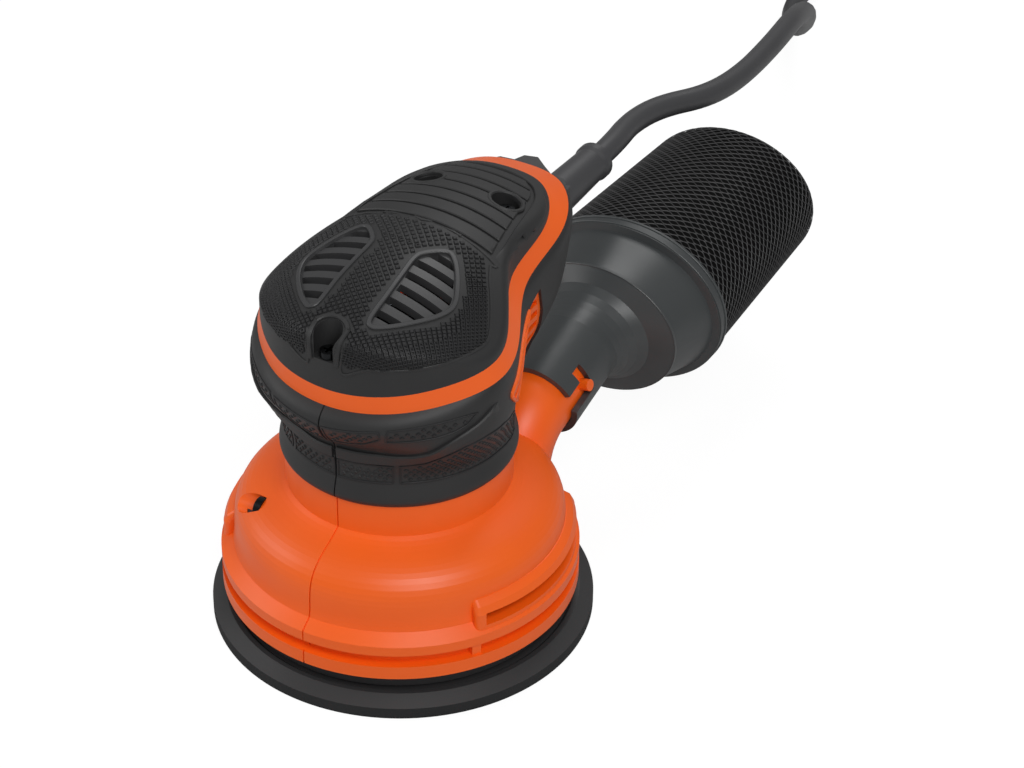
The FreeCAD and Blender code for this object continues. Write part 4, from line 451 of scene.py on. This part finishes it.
def piece(name, points, faces, body, finish, slot):
    """A mesh from points in mm, with its faces turned outward, riding on a body."""
    points = np.asarray(points).reshape(-1, 3)
    faces = [list(face) for face in faces]
    start, second, third = (points[[face[i] for face in faces]] for i in range(3))
    outward = (start - points.mean(0)) * np.cross(second - start, third - start)
    if outward.sum() < 0:
        faces = [face[::-1] for face in faces]
    mesh = bpy.data.meshes.new(name)
    mesh.from_pydata((points * MM).tolist(), [], faces)
    mesh.materials.append(finish)
    mesh.shade_smooth()
    mesh.set_sharp_from_angle(angle=SHARP_ANGLE)
    thing = bpy.data.objects.new(name, mesh)
    bpy.context.scene.collection.objects.link(thing)
    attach(thing, body)
    print(name, len(faces), "faces")


def joined(parts):
    """Several (points, faces) pairs as one, with the later faces' corner numbers moved on."""
    points, faces, count = [], [], 0
    for some_points, some_faces in parts:
        points.append(some_points)
        faces += [[corner + count for corner in face] for face in some_faces]
        count += len(some_points)
    return np.vstack(points), faces


print("3 by 3 points make", len(grid_faces(3, 3)), "quads")

# %% Strips
BEAD_FOOT = 0.5
BEVEL_SHARE = 0.4


def strip(path, normals, profile, closed):
    """A moulding along a path, as points and faces; an open one gets an end face at each end.

    The profile is a closed loop of (across, up) in mm, set square to the path.
    """
    ahead = np.roll(path, -1, 0) - np.roll(path, 1, 0) if closed else np.gradient(path, axis=0)
    across = unit(np.cross(ahead, normals))
    profile = np.array(profile)
    points = (path[:, None] + across[:, None] * profile[None, :, :1]
              + normals[:, None] * profile[None, :, 1:])
    faces = grid_faces(len(path), len(profile), closed, True).tolist()
    if not closed:
        last = (len(path) - 1) * len(profile)
        faces += [list(range(len(profile))), list(range(last, last + len(profile)))[::-1]]
    return points.reshape(-1, 3), faces


def bead(width, height, sunk=BEAD_FOOT, aside=0.0):
    """Profile of a low bead with bevelled shoulders, its foot sunk into the surface below it."""
    half, bevel = width / 2, min(width, height) * BEVEL_SHARE
    corners = [(-half, -sunk), (-half, height - bevel), (bevel - half, height),
               (half - bevel, height), (half, height - bevel), (half, -sunk)]
    return [(x + aside, z) for x, z in corners]


def rounded(corners, steps, closed=True):
    """A smooth curve through the corners.

    Catmull-Rom: each span is a cubic that leaves a corner along its neighbours' chord.
    """
    corners = np.array(corners, float)
    if not closed:
        corners = np.vstack([2 * corners[:1] - corners[1:2], corners,
                             2 * corners[-1:] - corners[-2:-1]])
    before, start, end, after = (np.roll(corners, shift, 0)[:, None] for shift in (1, 0, -1, -2))
    t = (np.arange(steps) / steps)[None, :, None]
    curve = start + 0.5 * t * (end - before + t * (2 * before - 5 * start + 4 * end - after
                                                   + t * (3 * start - before - 3 * end + after)))
    if closed:
        return curve.reshape(-1, corners.shape[1])
    return np.vstack([curve[1:-2].reshape(-1, corners.shape[1]), corners[-2:-1]])


print("a bead 2 mm wide and 1 mm high", bead(2, 1))

# %% [markdown]
# A knurl is a field of small squares on a lattice at 45 degrees, cut off at the field's edge. So we
# need a turned lattice, a test of which of its points lie inside a loop, how far each is from it,
# and the little block that stands at each point.

# %% Lattices and studs
TINY = 1e-9
STUD_FOOT, STUD_SHOULDER, STUD_SLOPE, STUD_BEVEL = 0.35, 0.4, 0.06, 0.3
HOLLOW_RIM, HOLLOW_FLOOR, HOLLOW_DEPTH = 0.5, 0.62, 0.35


def lattice_points(pitch, count):
    """A square lattice turned by 45 degrees, count points to each side of its middle."""
    step = np.arange(-count, count + 1) * pitch
    turned = np.array([[1, 1], [-1, 1]]) / math.sqrt(2)
    return np.stack(np.meshgrid(step, step), -1).reshape(-1, 2) @ turned


def inside(points, loop):
    """Which plan points lie inside a closed loop: an odd number of its edges lies right of them."""
    start, end = loop, np.roll(loop, -1, 0)
    x, y = points[:, :1], points[:, 1:2]
    straddles = (start[:, 1] > y) != (end[:, 1] > y)
    rise = np.where(end[:, 1] == start[:, 1], 1.0, end[:, 1] - start[:, 1])
    meets = start[:, 0] + (y - start[:, 1]) / rise * (end[:, 0] - start[:, 0])
    return (straddles & (x < meets)).sum(1) % 2 == 1


def distance(points, loop):
    """Distance from each plan point to the nearest edge of a closed loop."""
    edge = np.roll(loop, -1, 0) - loop
    away = points[:, None, :2] - loop
    share = np.clip((away * edge).sum(2) / np.maximum((edge ** 2).sum(1), TINY), 0, 1)
    return np.linalg.norm(away - share[..., None] * edge, axis=2).min(1)


def studs(points, normals, way, width, height, framed):
    """Small square blocks set on a surface, one at each point, edges along a given way.

    Plain ones are cut pyramids. Framed ones carry a square hollow, so that only their rim touches
    the hand.
    """
    first = unit(way - (way * normals).sum(1, keepdims=True) * normals)
    second = np.cross(normals, first)
    square = np.array([(-1, -1), (1, -1), (1, 1), (-1, 1)])
    half = width / 2
    rings = [(half, -STUD_FOOT), (half - STUD_SLOPE, height * STUD_SHOULDER),
             (half - STUD_BEVEL, height)]
    if framed:
        rings += [(half - HOLLOW_RIM, height), (half - HOLLOW_FLOOR, height - HOLLOW_DEPTH)]
    shape = np.vstack([np.hstack([square * reach, np.full((4, 1), level)])
                       for reach, level in rings])
    blocks = (points[:, None] + shape[None, :, :1] * first[:, None]
              + shape[None, :, 1:2] * second[:, None] + shape[None, :, 2:] * normals[:, None])
    walls = grid_faces(len(rings), 4, False, True)
    walls = np.vstack([walls[:, ::-1], [[3, 2, 1, 0]], [[len(shape) - 4 + i for i in range(4)]]])
    faces = (np.arange(len(points)) * len(shape))[:, None, None] + walls[None]
    return blocks.reshape(-1, 3), faces.reshape(-1, 4)


print("lattice of 2 to each side", len(lattice_points(1, 2)), "points")

# %% [markdown]
# ## The palm cover
# The cover is a soft skin moulded over a hard cap, where the palm rests. Its front is knurled:
# small squares with a hollow in each towards the edges, solid ones in the middle. Behind them lie
# broad ribs across the hand. The squares are placed on a flat lattice and thrown onto the cover
# from a point inside the head, which spreads them evenly over the dome and down over its front.

# %% The cover's dome and its openings
FOCUS = np.array([0.0, 0.0, 85.0])
LATTICE_HEIGHT = 137.0
THROW = 3
DOME_TOP, DOME_MIDDLE, DOME_LENGTH, DOME_WIDTH = 137.103, 19.2, 163.88, 58.127
LEAF = [(10.6, -32.0), (8.7, -29.5), (8.5, -20.0), (8.0, -10.0), (7.6, -2.5), (9.0, 1.5),
        (14.2, 6.4), (18.2, 4.9), (23.2, -2.0), (26.5, -10.0), (24.3, -17.8), (18.4, -26.2),
        (13.4, -30.9)]
KNURL_EDGE = [(9.1, -67.0), (22.4, -61.8), (28.8, -59.1), (40.3, -51.2), (50.5, -38.8),
              (55.9, -25.7), (56.5, -15.0), (48.7, -5.6), (40.7, 2.1), (33.9, 8.4), (30.0, 13.2),
              (27.5, 15.6)]
KNURL_BACK = [(-14.0, 15.2), (0.0, 15.0), (14.0, 15.2)]
MIRROR = np.array([-1.0, 1.0])


def thrown(flat):
    """Lattice points in plan, thrown onto the cover: a ray comes in through each, to the focus."""
    flat = np.asarray(flat, float)
    far = np.hstack([flat, np.full((len(flat), 1), LATTICE_HEIGHT)]) - FOCUS
    return cast(["palm_cover", "vent_grille_right", "vent_grille_left"], FOCUS + far * THROW, -far)


def dome_point(plan):
    """Points on the cover's dome over plan points, with normals.

    The dome is an arc across the head, swung along a longer arc: height = middle + root((R - r +
    root(r r - x x)) squared - y y), with R the long radius and r the short one.
    """
    x, y = plan[:, 0], plan[:, 1] - DOME_MIDDLE
    bulge = np.sqrt(DOME_WIDTH ** 2 - x ** 2)
    reach = DOME_LENGTH - DOME_WIDTH + bulge
    rise = np.sqrt(reach ** 2 - y ** 2)
    normals = unit(np.stack([reach / rise * x / bulge, y / rise, np.ones(len(x))], 1))
    return np.stack([x, y + DOME_MIDDLE, DOME_TOP - DOME_LENGTH + rise], 1), normals


leaf = rounded(LEAF, 8)
leaves = [leaf, leaf * MIRROR]
knurl_edge = np.vstack([KNURL_EDGE, np.array(KNURL_EDGE)[::-1] * MIRROR])
print("the dome at its middle", dome_point(np.array([[0.0, DOME_MIDDLE]]))[0].round(1))

# %% Knurled front of the palm cover
KNURL_PITCH, KNURL_COUNT, KNURL_MARGIN, KNURL_HEIGHT = 2.1, 48, 1.3, 0.5
EDGE_BEAD = (0.9, 0.35)
SOLID_STUD, FRAMED_STUD = 1.5, 1.75
FRAMED_REACH, FRAMED_BACK = 14, 4
LEAF_CLEAR, NOTCH_CLEAR, NOTCH_BACK = 2.0, 7.0, -38.5

lattice = lattice_points(KNURL_PITCH, KNURL_COUNT)
lattice = lattice[inside(lattice, knurl_edge)]
edge_distance = distance(lattice, knurl_edge)
within = edge_distance > KNURL_MARGIN
lattice, edge_distance = lattice[within], edge_distance[within]
places, normals = thrown(lattice)
clear = np.isfinite(places[:, 0])
for loop in leaves:
    clear &= ~inside(places, loop) & (distance(places, loop) > LEAF_CLEAR)
x, y = places[:, 0], places[:, 1]
clear &= np.where(y < NOTCH_BACK, np.abs(x), np.hypot(x, y - NOTCH_BACK)) > NOTCH_CLEAR
framed = (edge_distance < FRAMED_REACH) & (lattice[:, 1] < FRAMED_BACK)
diagonal = np.tile([[1.0, 1.0, 0.0]], (len(places), 1))
blocks = [studs(places[pick], normals[pick], diagonal[pick], width, KNURL_HEIGHT, hollow)
          for pick, width, hollow in ((clear & ~framed, SOLID_STUD, False),
                                      (clear & framed, FRAMED_STUD, True))]
# the squares take the darker rubber, whose colour holds painted shade for the hollows
piece("palm_knurl", *joined(blocks), "housing", knurl_painted_shade, "soft_grip")

# the edge of the knurl: one low bead round it, down the front and back along the ribs
edge_places, edge_normals = thrown(rounded(np.vstack([knurl_edge, KNURL_BACK]), 6))
piece("palm_knurl_edge", *strip(edge_places, edge_normals, bead(*EDGE_BEAD), True), "housing",
      elastomer, "soft_grip")

# %% [markdown]
# The rear of the cover has seven broad ribs between narrow grooves, then a plain border round
# them. Ribs give the heel of the hand something to push on, and they hide the joint lines of the
# mould. A rib is a grid of the dome's points, lifted where it is not a wall.

# %% Ribs of the palm cover
RIB_FRONT, RIB_PITCH, RIB_GROOVE, RIB_HEIGHT, RIB_COUNT = 15.9, 6.6, 1.1, 0.8, 7
RIB_BACK, RIB_FOOT, RIB_BEVEL = 59.5, -0.4, 0.3
RIB_COLUMNS, RIB_SIDE_BEVEL = 90, 0.015
RIB_WIDEST, RIB_WIDEST_AT, RIB_NARROWING = 24.0, 17.0, 0.19
RIB_ROUND, RIB_ROUND_FROM, RIB_ROW = 5.0, 50.0, 0.7
WELLS = np.array([(-14.1, 42.1), (14.1, 42.1)])
WELL_CLEAR = 5.2


def walled(middle, start, end):
    """Places from start to end, doubled there, and heights: up a wall, across, and down again."""
    heights = np.concatenate([[RIB_FOOT, RIB_HEIGHT - RIB_BEVEL],
                              np.full(len(middle), RIB_HEIGHT),
                              [RIB_HEIGHT - RIB_BEVEL, RIB_FOOT]])
    return np.concatenate([[start, start], middle, [end, end]]), heights


def half_width(along):
    """Half the ribs' width at a place along the head.

    It narrows evenly, and the square of the share of the last stretch rounds it off at the back.
    """
    rounding = np.clip((along - RIB_ROUND_FROM) / (RIB_BACK - RIB_ROUND_FROM), 0, 1) ** 2
    return RIB_WIDEST - RIB_NARROWING * (along - RIB_WIDEST_AT) - RIB_ROUND * rounding


edge = 1 - RIB_SIDE_BEVEL
side, side_heights = walled(np.linspace(-edge, edge, RIB_COLUMNS), -1, 1)
ribs = []
for index in range(RIB_COUNT):
    start = RIB_FRONT + index * RIB_PITCH
    end = min(start + RIB_PITCH - RIB_GROOVE, RIB_BACK)
    rows = max(3, int((end - start) / RIB_ROW))
    along, heights = walled(np.linspace(start + RIB_BEVEL, end - RIB_BEVEL, rows), start, end)
    plan = np.stack([side[None] * half_width(along)[:, None],
                     np.repeat(along[:, None], len(side), 1)], -1)
    ground, facing = dome_point(plan.reshape(-1, 2))
    points = ground + facing * np.minimum(heights[:, None], side_heights[None]).reshape(-1, 1)
    faces = grid_faces(len(along), len(side))
    middle = points[faces].mean(1)
    keep = np.all([np.hypot(*(middle[:, :2] - well).T) > WELL_CLEAR for well in WELLS], axis=0)
    ribs.append((points, faces[keep].tolist()))
piece("palm_ribs", *joined(ribs), "housing", elastomer, "soft_grip")

# %% Border of the palm cover
BORDER_INNER = [(25.6, 15.9), (24.9, 22.0), (23.6, 29.0), (21.9, 38.0), (20.1, 47.0),
                (17.6, 54.0), (13.0, 59.3), (7.0, 61.2), (0.0, 61.6)]
BORDER_OUTER = [(28.9, 14.5), (27.2, 21.5), (26.4, 29.0), (25.9, 38.0), (24.6, 47.0),
                (21.2, 54.6), (14.7, 60.9), (7.4, 63.2), (0.0, 63.8)]
BORDER_FOOT, BORDER_BEVEL, BORDER_LEAST, FADE_STEPS = -0.5, 0.25, 0.02, 7

inner, outer = (rounded(np.vstack([half, np.array(half)[-2::-1] * MIRROR]), 6, False)
                for half in (BORDER_INNER, BORDER_OUTER))
share = np.array([0, 0, 0.08, 0.3, 0.5, 0.7, 0.92, 1, 1])
lift = np.array([BORDER_FOOT, RIB_HEIGHT - RIB_BEVEL] + [RIB_HEIGHT] * 5
                + [RIB_HEIGHT - BORDER_BEVEL, BORDER_FOOT])
plan = inner[:, None] * (1 - share[None, :, None]) + outer[:, None] * share[None, :, None]
plan = plan.reshape(-1, 2)
above = np.hstack([plan, np.full((len(plan), 1), OVER)])
ground, facing = cast(["palm_cover"], above, np.tile(DOWN, (len(plan), 1)))
count = np.arange(len(inner))
fade = np.clip(np.minimum(count, count[::-1]) / FADE_STEPS, 0.0, 1.0)
lift = np.where(lift > 0, lift * fade[:, None] + BORDER_LEAST, lift)
piece("palm_border", ground + facing * lift.reshape(-1, 1), grid_faces(len(inner), len(share)),
      "housing", elastomer, "soft_grip")

# %% [markdown]
# Raised rims finish the openings: round the two leaf-shaped vents, round the rear screw wells, and
# a U round the front one. On a real cover they are where the soft skin ends against the hard
# plastic under it.

# %% Rims of the openings
LEAF_RIM, LEAF_RIM_ASIDE = (1.5, 0.6, 1.4), 0.35
WELL_RIM, WELL_RIM_RADIUS, WELL_STEPS = (1.5, 1.0, 0.8), 5.3, 48
NOTCH_RIM, NOTCH_RADIUS, NOTCH_MIDDLE = (1.5, 0.85, 0.8), 6.9, -46.5
NOTCH_SIDE = [(7.0, -58.0), (7.4, -66.5)]

rims = [strip(*dome_point(loop), bead(*LEAF_RIM, aside), True)
        for loop, aside in zip(leaves, (LEAF_RIM_ASIDE, -LEAF_RIM_ASIDE))]
piece("leaf_rims", *joined(rims), "housing", nylon, "black_plastic")

turn = np.linspace(0, 2 * np.pi, WELL_STEPS, endpoint=False)
circle = np.stack([np.cos(turn), np.sin(turn)], 1)
rims = [strip(*dome_point(well + WELL_RIM_RADIUS * circle), bead(*WELL_RIM), True)
        for well in WELLS]
arc = circle[1:WELL_STEPS // 2] * MIRROR * NOTCH_RADIUS + [0, NOTCH_MIDDLE]
notch = np.vstack([np.array(NOTCH_SIDE)[::-1] * MIRROR, arc, NOTCH_SIDE])
rims.append(strip(*thrown(rounded(notch, 3, False)), bead(*NOTCH_RIM), False))
piece("well_rims", *joined(rims), "housing", elastomer, "soft_grip")

# %% [markdown]
# ## The soft grip
# The neck and the lower head carry the same knurl in panels, with smooth ribs between them for the
# fingers. Here the squares come in from the side, towards the motor axis, so the lattice is a turn
# round the axis by a height. Each panel is a loop in that flat picture, mirrored to the other side.

# %% Panels of the grip
GRIPS = ["grip_left", "grip_right"]
NECK_PANELS = [[(-89, 72.6), (-61, 73.0), (-61, 79.6), (-89, 78.9)],
               [(-57.5, 73.0), (-40, 72.9), (-18, 72.8), (0, 72.6), (14, 71.6), (21, 71.8),
                (22, 76), (16, 81), (4, 86), (-10, 89.6), (-20, 89.6), (-30, 88.0), (-38, 84.8),
                (-46, 81.6), (-57.5, 80.0)]]
HEAD_PANELS = [[(-89, 88.2), (-80, 89.6), (-72, 91.6), (-65.6, 94.6), (-65.6, 98.0),
                (-75, 97.3), (-89, 96.2)],
               [(-63.0, 93.6), (-53, 93.9), (-44, 94.5), (-36, 95.6), (-31, 97.2),
                (-26.5, 100.6), (-33, 100.6), (-43, 100.0), (-53, 99.2), (-62.4, 98.4)]]
FRONT_TURN = -90
GRIP_RADIUS = 37.0
TURN = math.radians(GRIP_RADIUS)  # millimetres of arc to a degree, near the grip's surface
OUTSIDE = 90
PANEL_PITCH, PANEL_COUNT, PANEL_MARGIN = 1.9, 60, 1.1
PANEL_STUD, PANEL_STUD_HEIGHT = 1.3, 0.38
PANEL_MIDDLE = np.array([FRONT_TURN * TURN, 85.0])
PANEL_BEAD, EDGE_STEP = (0.7, 0.3), 0.8


def mirrored(loop, way):
    """A loop of (degrees, height), or its mirror image in the head's middle where way is -1."""
    loop = np.array(loop, float)
    if way < 0:
        loop[:, 0] = 2 * FRONT_TURN - loop[:, 0]
    return loop


def wrapped(flat):
    """Points given as (degrees round the axis, height), cast in level from outside."""
    flat = np.asarray(flat, float)
    angle = np.radians(flat[:, 0])
    out = np.stack([np.cos(angle), np.sin(angle), np.zeros(len(flat))], 1)
    return cast(GRIPS, out * OUTSIDE + np.array([0, 0, 1]) * flat[:, 1:], -out)


def panel(corners, way):
    """A panel's squares and the fine bead round it; way -1 gives the mirrored panel."""
    loop = mirrored(corners, way)
    flat_loop = loop * [TURN, 1.0]
    grid = lattice_points(PANEL_PITCH, PANEL_COUNT) + PANEL_MIDDLE
    grid = grid[inside(grid, flat_loop)]
    grid = grid[distance(grid, flat_loop) > PANEL_MARGIN]
    places, normals = wrapped(grid / [TURN, 1.0])
    good = np.isfinite(places[:, 0])
    diagonal = np.cross(normals, [0, 0, 1.0]) + [0, 0, 1.0]
    blocks = studs(places[good], normals[good], diagonal[good], PANEL_STUD, PANEL_STUD_HEIGHT,
                   False)
    edges = []
    for start, end in zip(loop, np.roll(loop, -1, 0)):
        length = np.hypot(*((end - start) * [TURN, 1]))
        edges.append(np.linspace(start, end, max(2, int(length / EDGE_STEP)), endpoint=False))
    return [blocks, strip(*wrapped(np.vstack(edges)), bead(*PANEL_BEAD), True)]


panels = [part for corners in NECK_PANELS + HEAD_PANELS for way in (1, -1)
          for part in panel(corners, way)]
# the squares take the darker rubber, whose colour holds painted shade for the hollows
piece("grip_knurl", *joined(panels), "housing", knurl_painted_shade, "soft_grip")

# %% Ribs of the grip
NECK_RIB = [(-89, 81.7), (-78, 81.8), (-68, 82.4), (-58, 83.2), (-50, 84.6), (-44, 86.8),
            (-38.5, 89.8), (-32, 92.6), (-25, 95.2), (-18.5, 98.4), (-15.0, 99.4)]
NECK_RIB_SHAPE = (4.2, 1.1, 1.0)
SINK_DEPTH, SINK_STEPS = 1.3, 6

ribs = []
for way in (1, -1):
    ground, facing = wrapped(mirrored(rounded(NECK_RIB, 5, False), way))
    sink = np.clip(1 - np.arange(len(ground))[::-1] / SINK_STEPS, 0, 1) * SINK_DEPTH
    ribs.append(strip(ground - facing * sink[:, None], facing, bead(*NECK_RIB_SHAPE), False))
piece("grip_ribs", *joined(ribs), "housing", elastomer, "soft_grip")

# %% [markdown]
# ## The blind louvres of the air grille
# The opening of the air grille ends where the field core stands close behind the wall. The mould
# carries its ribs on towards the front as blind louvres: a frame and ribs in the same orange, with
# a shut floor between them. They are a moulding on the surface here too, laid on with rays that
# come in level from the side.

# %% Blind louvres
LOUVRE_UPPER = np.array([(-3.4, 98.4), (4.8, 100.6), (12.0, 102.9), (20.0, 105.2), (27.2, 106.9)])
LOUVRE_LOWER = np.array([(-3.4, 97.2), (0.0, 93.6), (5.0, 90.0), (11.6, 87.0), (19.4, 96.7),
                         (27.2, 106.4)])
LOUVRE_FRONT, LOUVRE_BACK = LOUVRE_UPPER[[0, -1], 0]
LOUVRE_LEVEL, LOUVRE_MIDDLE, LOUVRE_PITCH, LOUVRE_FALL, LOUVRE_COUNT = 90.0, 30, 4.4, 0.1228, 4
LOUVRE_RIB, LOUVRE_FRAME, LOUVRE_MARGIN = (2.0, 0.8), (1.3, 0.9), 0.3
LOUVRE_FLOOR, LOUVRE_FOOT = 0.2, -0.4
FLOOR_STEPS, RIB_STEPS, LEAST_STEPS = 36, 90, 5


def beside(plan, way):
    """Points given as (y, z), cast in level onto the right grip, or the left where way is -1."""
    plan = np.asarray(plan, float)
    starts = np.hstack([np.full((len(plan), 1), OUTSIDE * float(way)), plan])
    return cast(GRIPS, starts, np.tile([[-float(way), 0.0, 0.0]], (len(plan), 1)))


def louvre_floor(way):
    """The shut floor: a grid between the lower and the upper edge, its rim sunk into the grip."""
    run = np.linspace(LOUVRE_FRONT, LOUVRE_BACK, FLOOR_STEPS)
    run = np.concatenate([[LOUVRE_FRONT], run, [LOUVRE_BACK]])
    upper, lower = (np.interp(run, *edge.T) for edge in (LOUVRE_UPPER, LOUVRE_LOWER))
    share = np.array([0, 0, 0.2, 0.4, 0.6, 0.8, 1, 1])
    height = lower[:, None] * (1 - share) + upper[:, None] * share
    plan = np.stack([np.repeat(run[:, None], len(share), 1), height], -1).reshape(-1, 2)
    lift = np.full(height.shape, LOUVRE_FLOOR)
    lift[[0, -1]] = lift[:, [0, -1]] = LOUVRE_FOOT
    ground, facing = beside(plan, way)
    return ground + facing * lift.reshape(-1, 1), grid_faces(*height.shape).tolist()


def louvre_ribs(way):
    """Ribs that fall evenly towards the back, each as long as the outline allows."""
    along = np.linspace(LOUVRE_FRONT, LOUVRE_BACK, RIB_STEPS)
    upper, lower = (np.interp(along, *edge.T) for edge in (LOUVRE_UPPER, LOUVRE_LOWER))
    for index in range(LOUVRE_COUNT):
        level = LOUVRE_LEVEL + index * LOUVRE_PITCH + (LOUVRE_MIDDLE - along) * LOUVRE_FALL
        within = (level > lower + LOUVRE_MARGIN) & (level < upper - LOUVRE_MARGIN)
        if within.sum() > LEAST_STEPS:
            path = np.stack([along, level], 1)[within]
            yield strip(*beside(path, way), bead(*LOUVRE_RIB), False)


outline = rounded(np.vstack([LOUVRE_UPPER, LOUVRE_LOWER[-2:0:-1]]), 6)
louvres = []
for way in (1, -1):
    louvres += [louvre_floor(way), *louvre_ribs(way),
                strip(*beside(outline, way), bead(*LOUVRE_FRAME), True)]
piece("blind_louvres", *joined(louvres), "housing", abs_orange, "shell_orange")

# %% [markdown]
# ## The rolled edges of the dust collar
# A thin moulded funnel would warp in the hand, so its free edges are thickened to a small rolled
# bead. The beads also catch the light as fine bright rings: one round the flange of the funnel, two
# round the rim. Rays towards the canister's axis find the edge, a ring of them for each bead.

# %% Beads round the collar
CANISTER_AXIS = np.array([15.5, 0.0, 53.0])
CANISTER_OUTSIDE, RING_STEPS = 60, 144
COLLAR_BEADS = [(103.25, 1.3, 0.45), (122.9, 0.8, 0.35), (126.6, 1.0, 0.35)]

ring = np.linspace(0, 2 * np.pi, RING_STEPS, endpoint=False)
outward = np.stack([np.cos(ring), np.zeros(len(ring)), np.sin(ring)], 1)
beads = []
for place, width, height in COLLAR_BEADS:
    starts = CANISTER_AXIS + [0, place, 0] + outward * CANISTER_OUTSIDE
    ground, facing = cast(["dust_collar"], starts, -outward)
    beads.append(strip(ground, unit(facing * [1, 0, 1]), bead(width, height), True))
piece("collar_beads", *joined(beads), "collar", smoked, "collar_smoke")

# %% [markdown]
# ## The netting of the dust cup
# The dust cup is a stiff netting stretched over a frame: it lets the air out and keeps the dust in.
# Its threads run round the cup in a zigzag and touch the next one at every turn, which leaves
# staggered slots, pointed at both ends, about 3.9 mm long round the cup and 2.3 mm wide. Each
# thread is a ribbon with a raised middle, broad where it touches and narrow on the slant, and the
# solid cup shows black through the slots: painted shade for the cup's dark inside.

# %% The cup's surface
CUP_MOUTH, CUP_LENGTH, CUP_TAPER, CUP_ROUND = 127.9, 86.0, 0.89, 9.0
CUP_HALF = np.array([36.4, 28.3])
CUP_EDGE, CAP_REACH, CORNER_STEPS = 0.8, 13, 10

corner = np.radians(np.linspace(0, 90, CORNER_STEPS))
key_y = np.concatenate([[CUP_MOUTH + CUP_EDGE],
                        CUP_MOUTH + CUP_LENGTH - CUP_ROUND * (1 - np.sin(corner)),
                        [CUP_MOUTH + CUP_LENGTH]])
key_in = np.concatenate([[0], CUP_ROUND * (1 - np.cos(corner)), [CUP_ROUND + CAP_REACH]])
key_share = 1 - (1 - CUP_TAPER) / CUP_LENGTH * (key_y - CUP_MOUTH)
key_run = np.concatenate([[0], np.cumsum(np.hypot(np.diff(key_y), np.diff(key_in)))])


def cup_point(run, angle):
    """A point on the cup from the way run from its mouth, in mm, and the angle round it."""
    inward = np.interp(run, key_run, key_in)
    share = np.interp(run, key_run, key_share)
    wide, high = (half * share - inward for half in CUP_HALF)
    return np.stack([CANISTER_AXIS[0] + wide * np.cos(angle), np.interp(run, key_run, key_y),
                     CANISTER_AXIS[2] + high * np.sin(angle)], -1)


print("netting runs", round(key_run[-1]), "mm from the mouth over the far end")

# %% Netting
THREAD_PITCH, TOUCH_WIDTH, SLANT_WIDTH, CELLS, STEPS = 1.75, 0.62, 0.34, 52, 6
RIBBON_EDGE, RIBBON_MIDDLE = 0.08, 0.34
SLANT_RATE = 3.0
CUP_INSIDE = CANISTER_AXIS + [0, 165.0, 0]
SMALL_TURN, SMALL_RUN = 0.01, 0.3

threads = int(key_run[-1] / THREAD_PITCH)
angle = np.linspace(0, 2 * np.pi, CELLS * STEPS, endpoint=False)
zigzag = np.abs((angle * CELLS / (2 * np.pi)) % 1 * 2 - 1)
zigzag = np.clip((zigzag - 0.5) * SLANT_RATE, -1, 1)
width = SLANT_WIDTH + (TOUCH_WIDTH - SLANT_WIDTH) * np.abs(zigzag)
zigzag = zigzag * (THREAD_PITCH - TOUCH_WIDTH) / 2
number = np.arange(threads)[:, None, None]
across = np.array([-0.5, 0.0, 0.5])[None, None] * width[None, :, None]
run = (number + 0.5) * THREAD_PITCH + (1 - 2 * (number % 2)) * zigzag[None, :, None] + across
turned = np.broadcast_to(angle[None, :, None], run.shape)
ground = cup_point(run, turned)
facing = unit(np.cross(cup_point(run, turned + SMALL_TURN) - ground,
                       cup_point(run + SMALL_RUN, turned) - ground))
facing *= np.sign((facing * (ground - CUP_INSIDE)).sum(-1, keepdims=True))
raised = np.array([RIBBON_EDGE, RIBBON_MIDDLE, RIBBON_EDGE])[None, None, :, None]
ribbon = grid_faces(len(angle), 3, True, False)
faces = (np.arange(threads) * len(angle) * 3)[:, None, None] + ribbon[None]
piece("cup_netting", ground + facing * raised, faces.reshape(-1, 4), "filter", thread, "mesh")
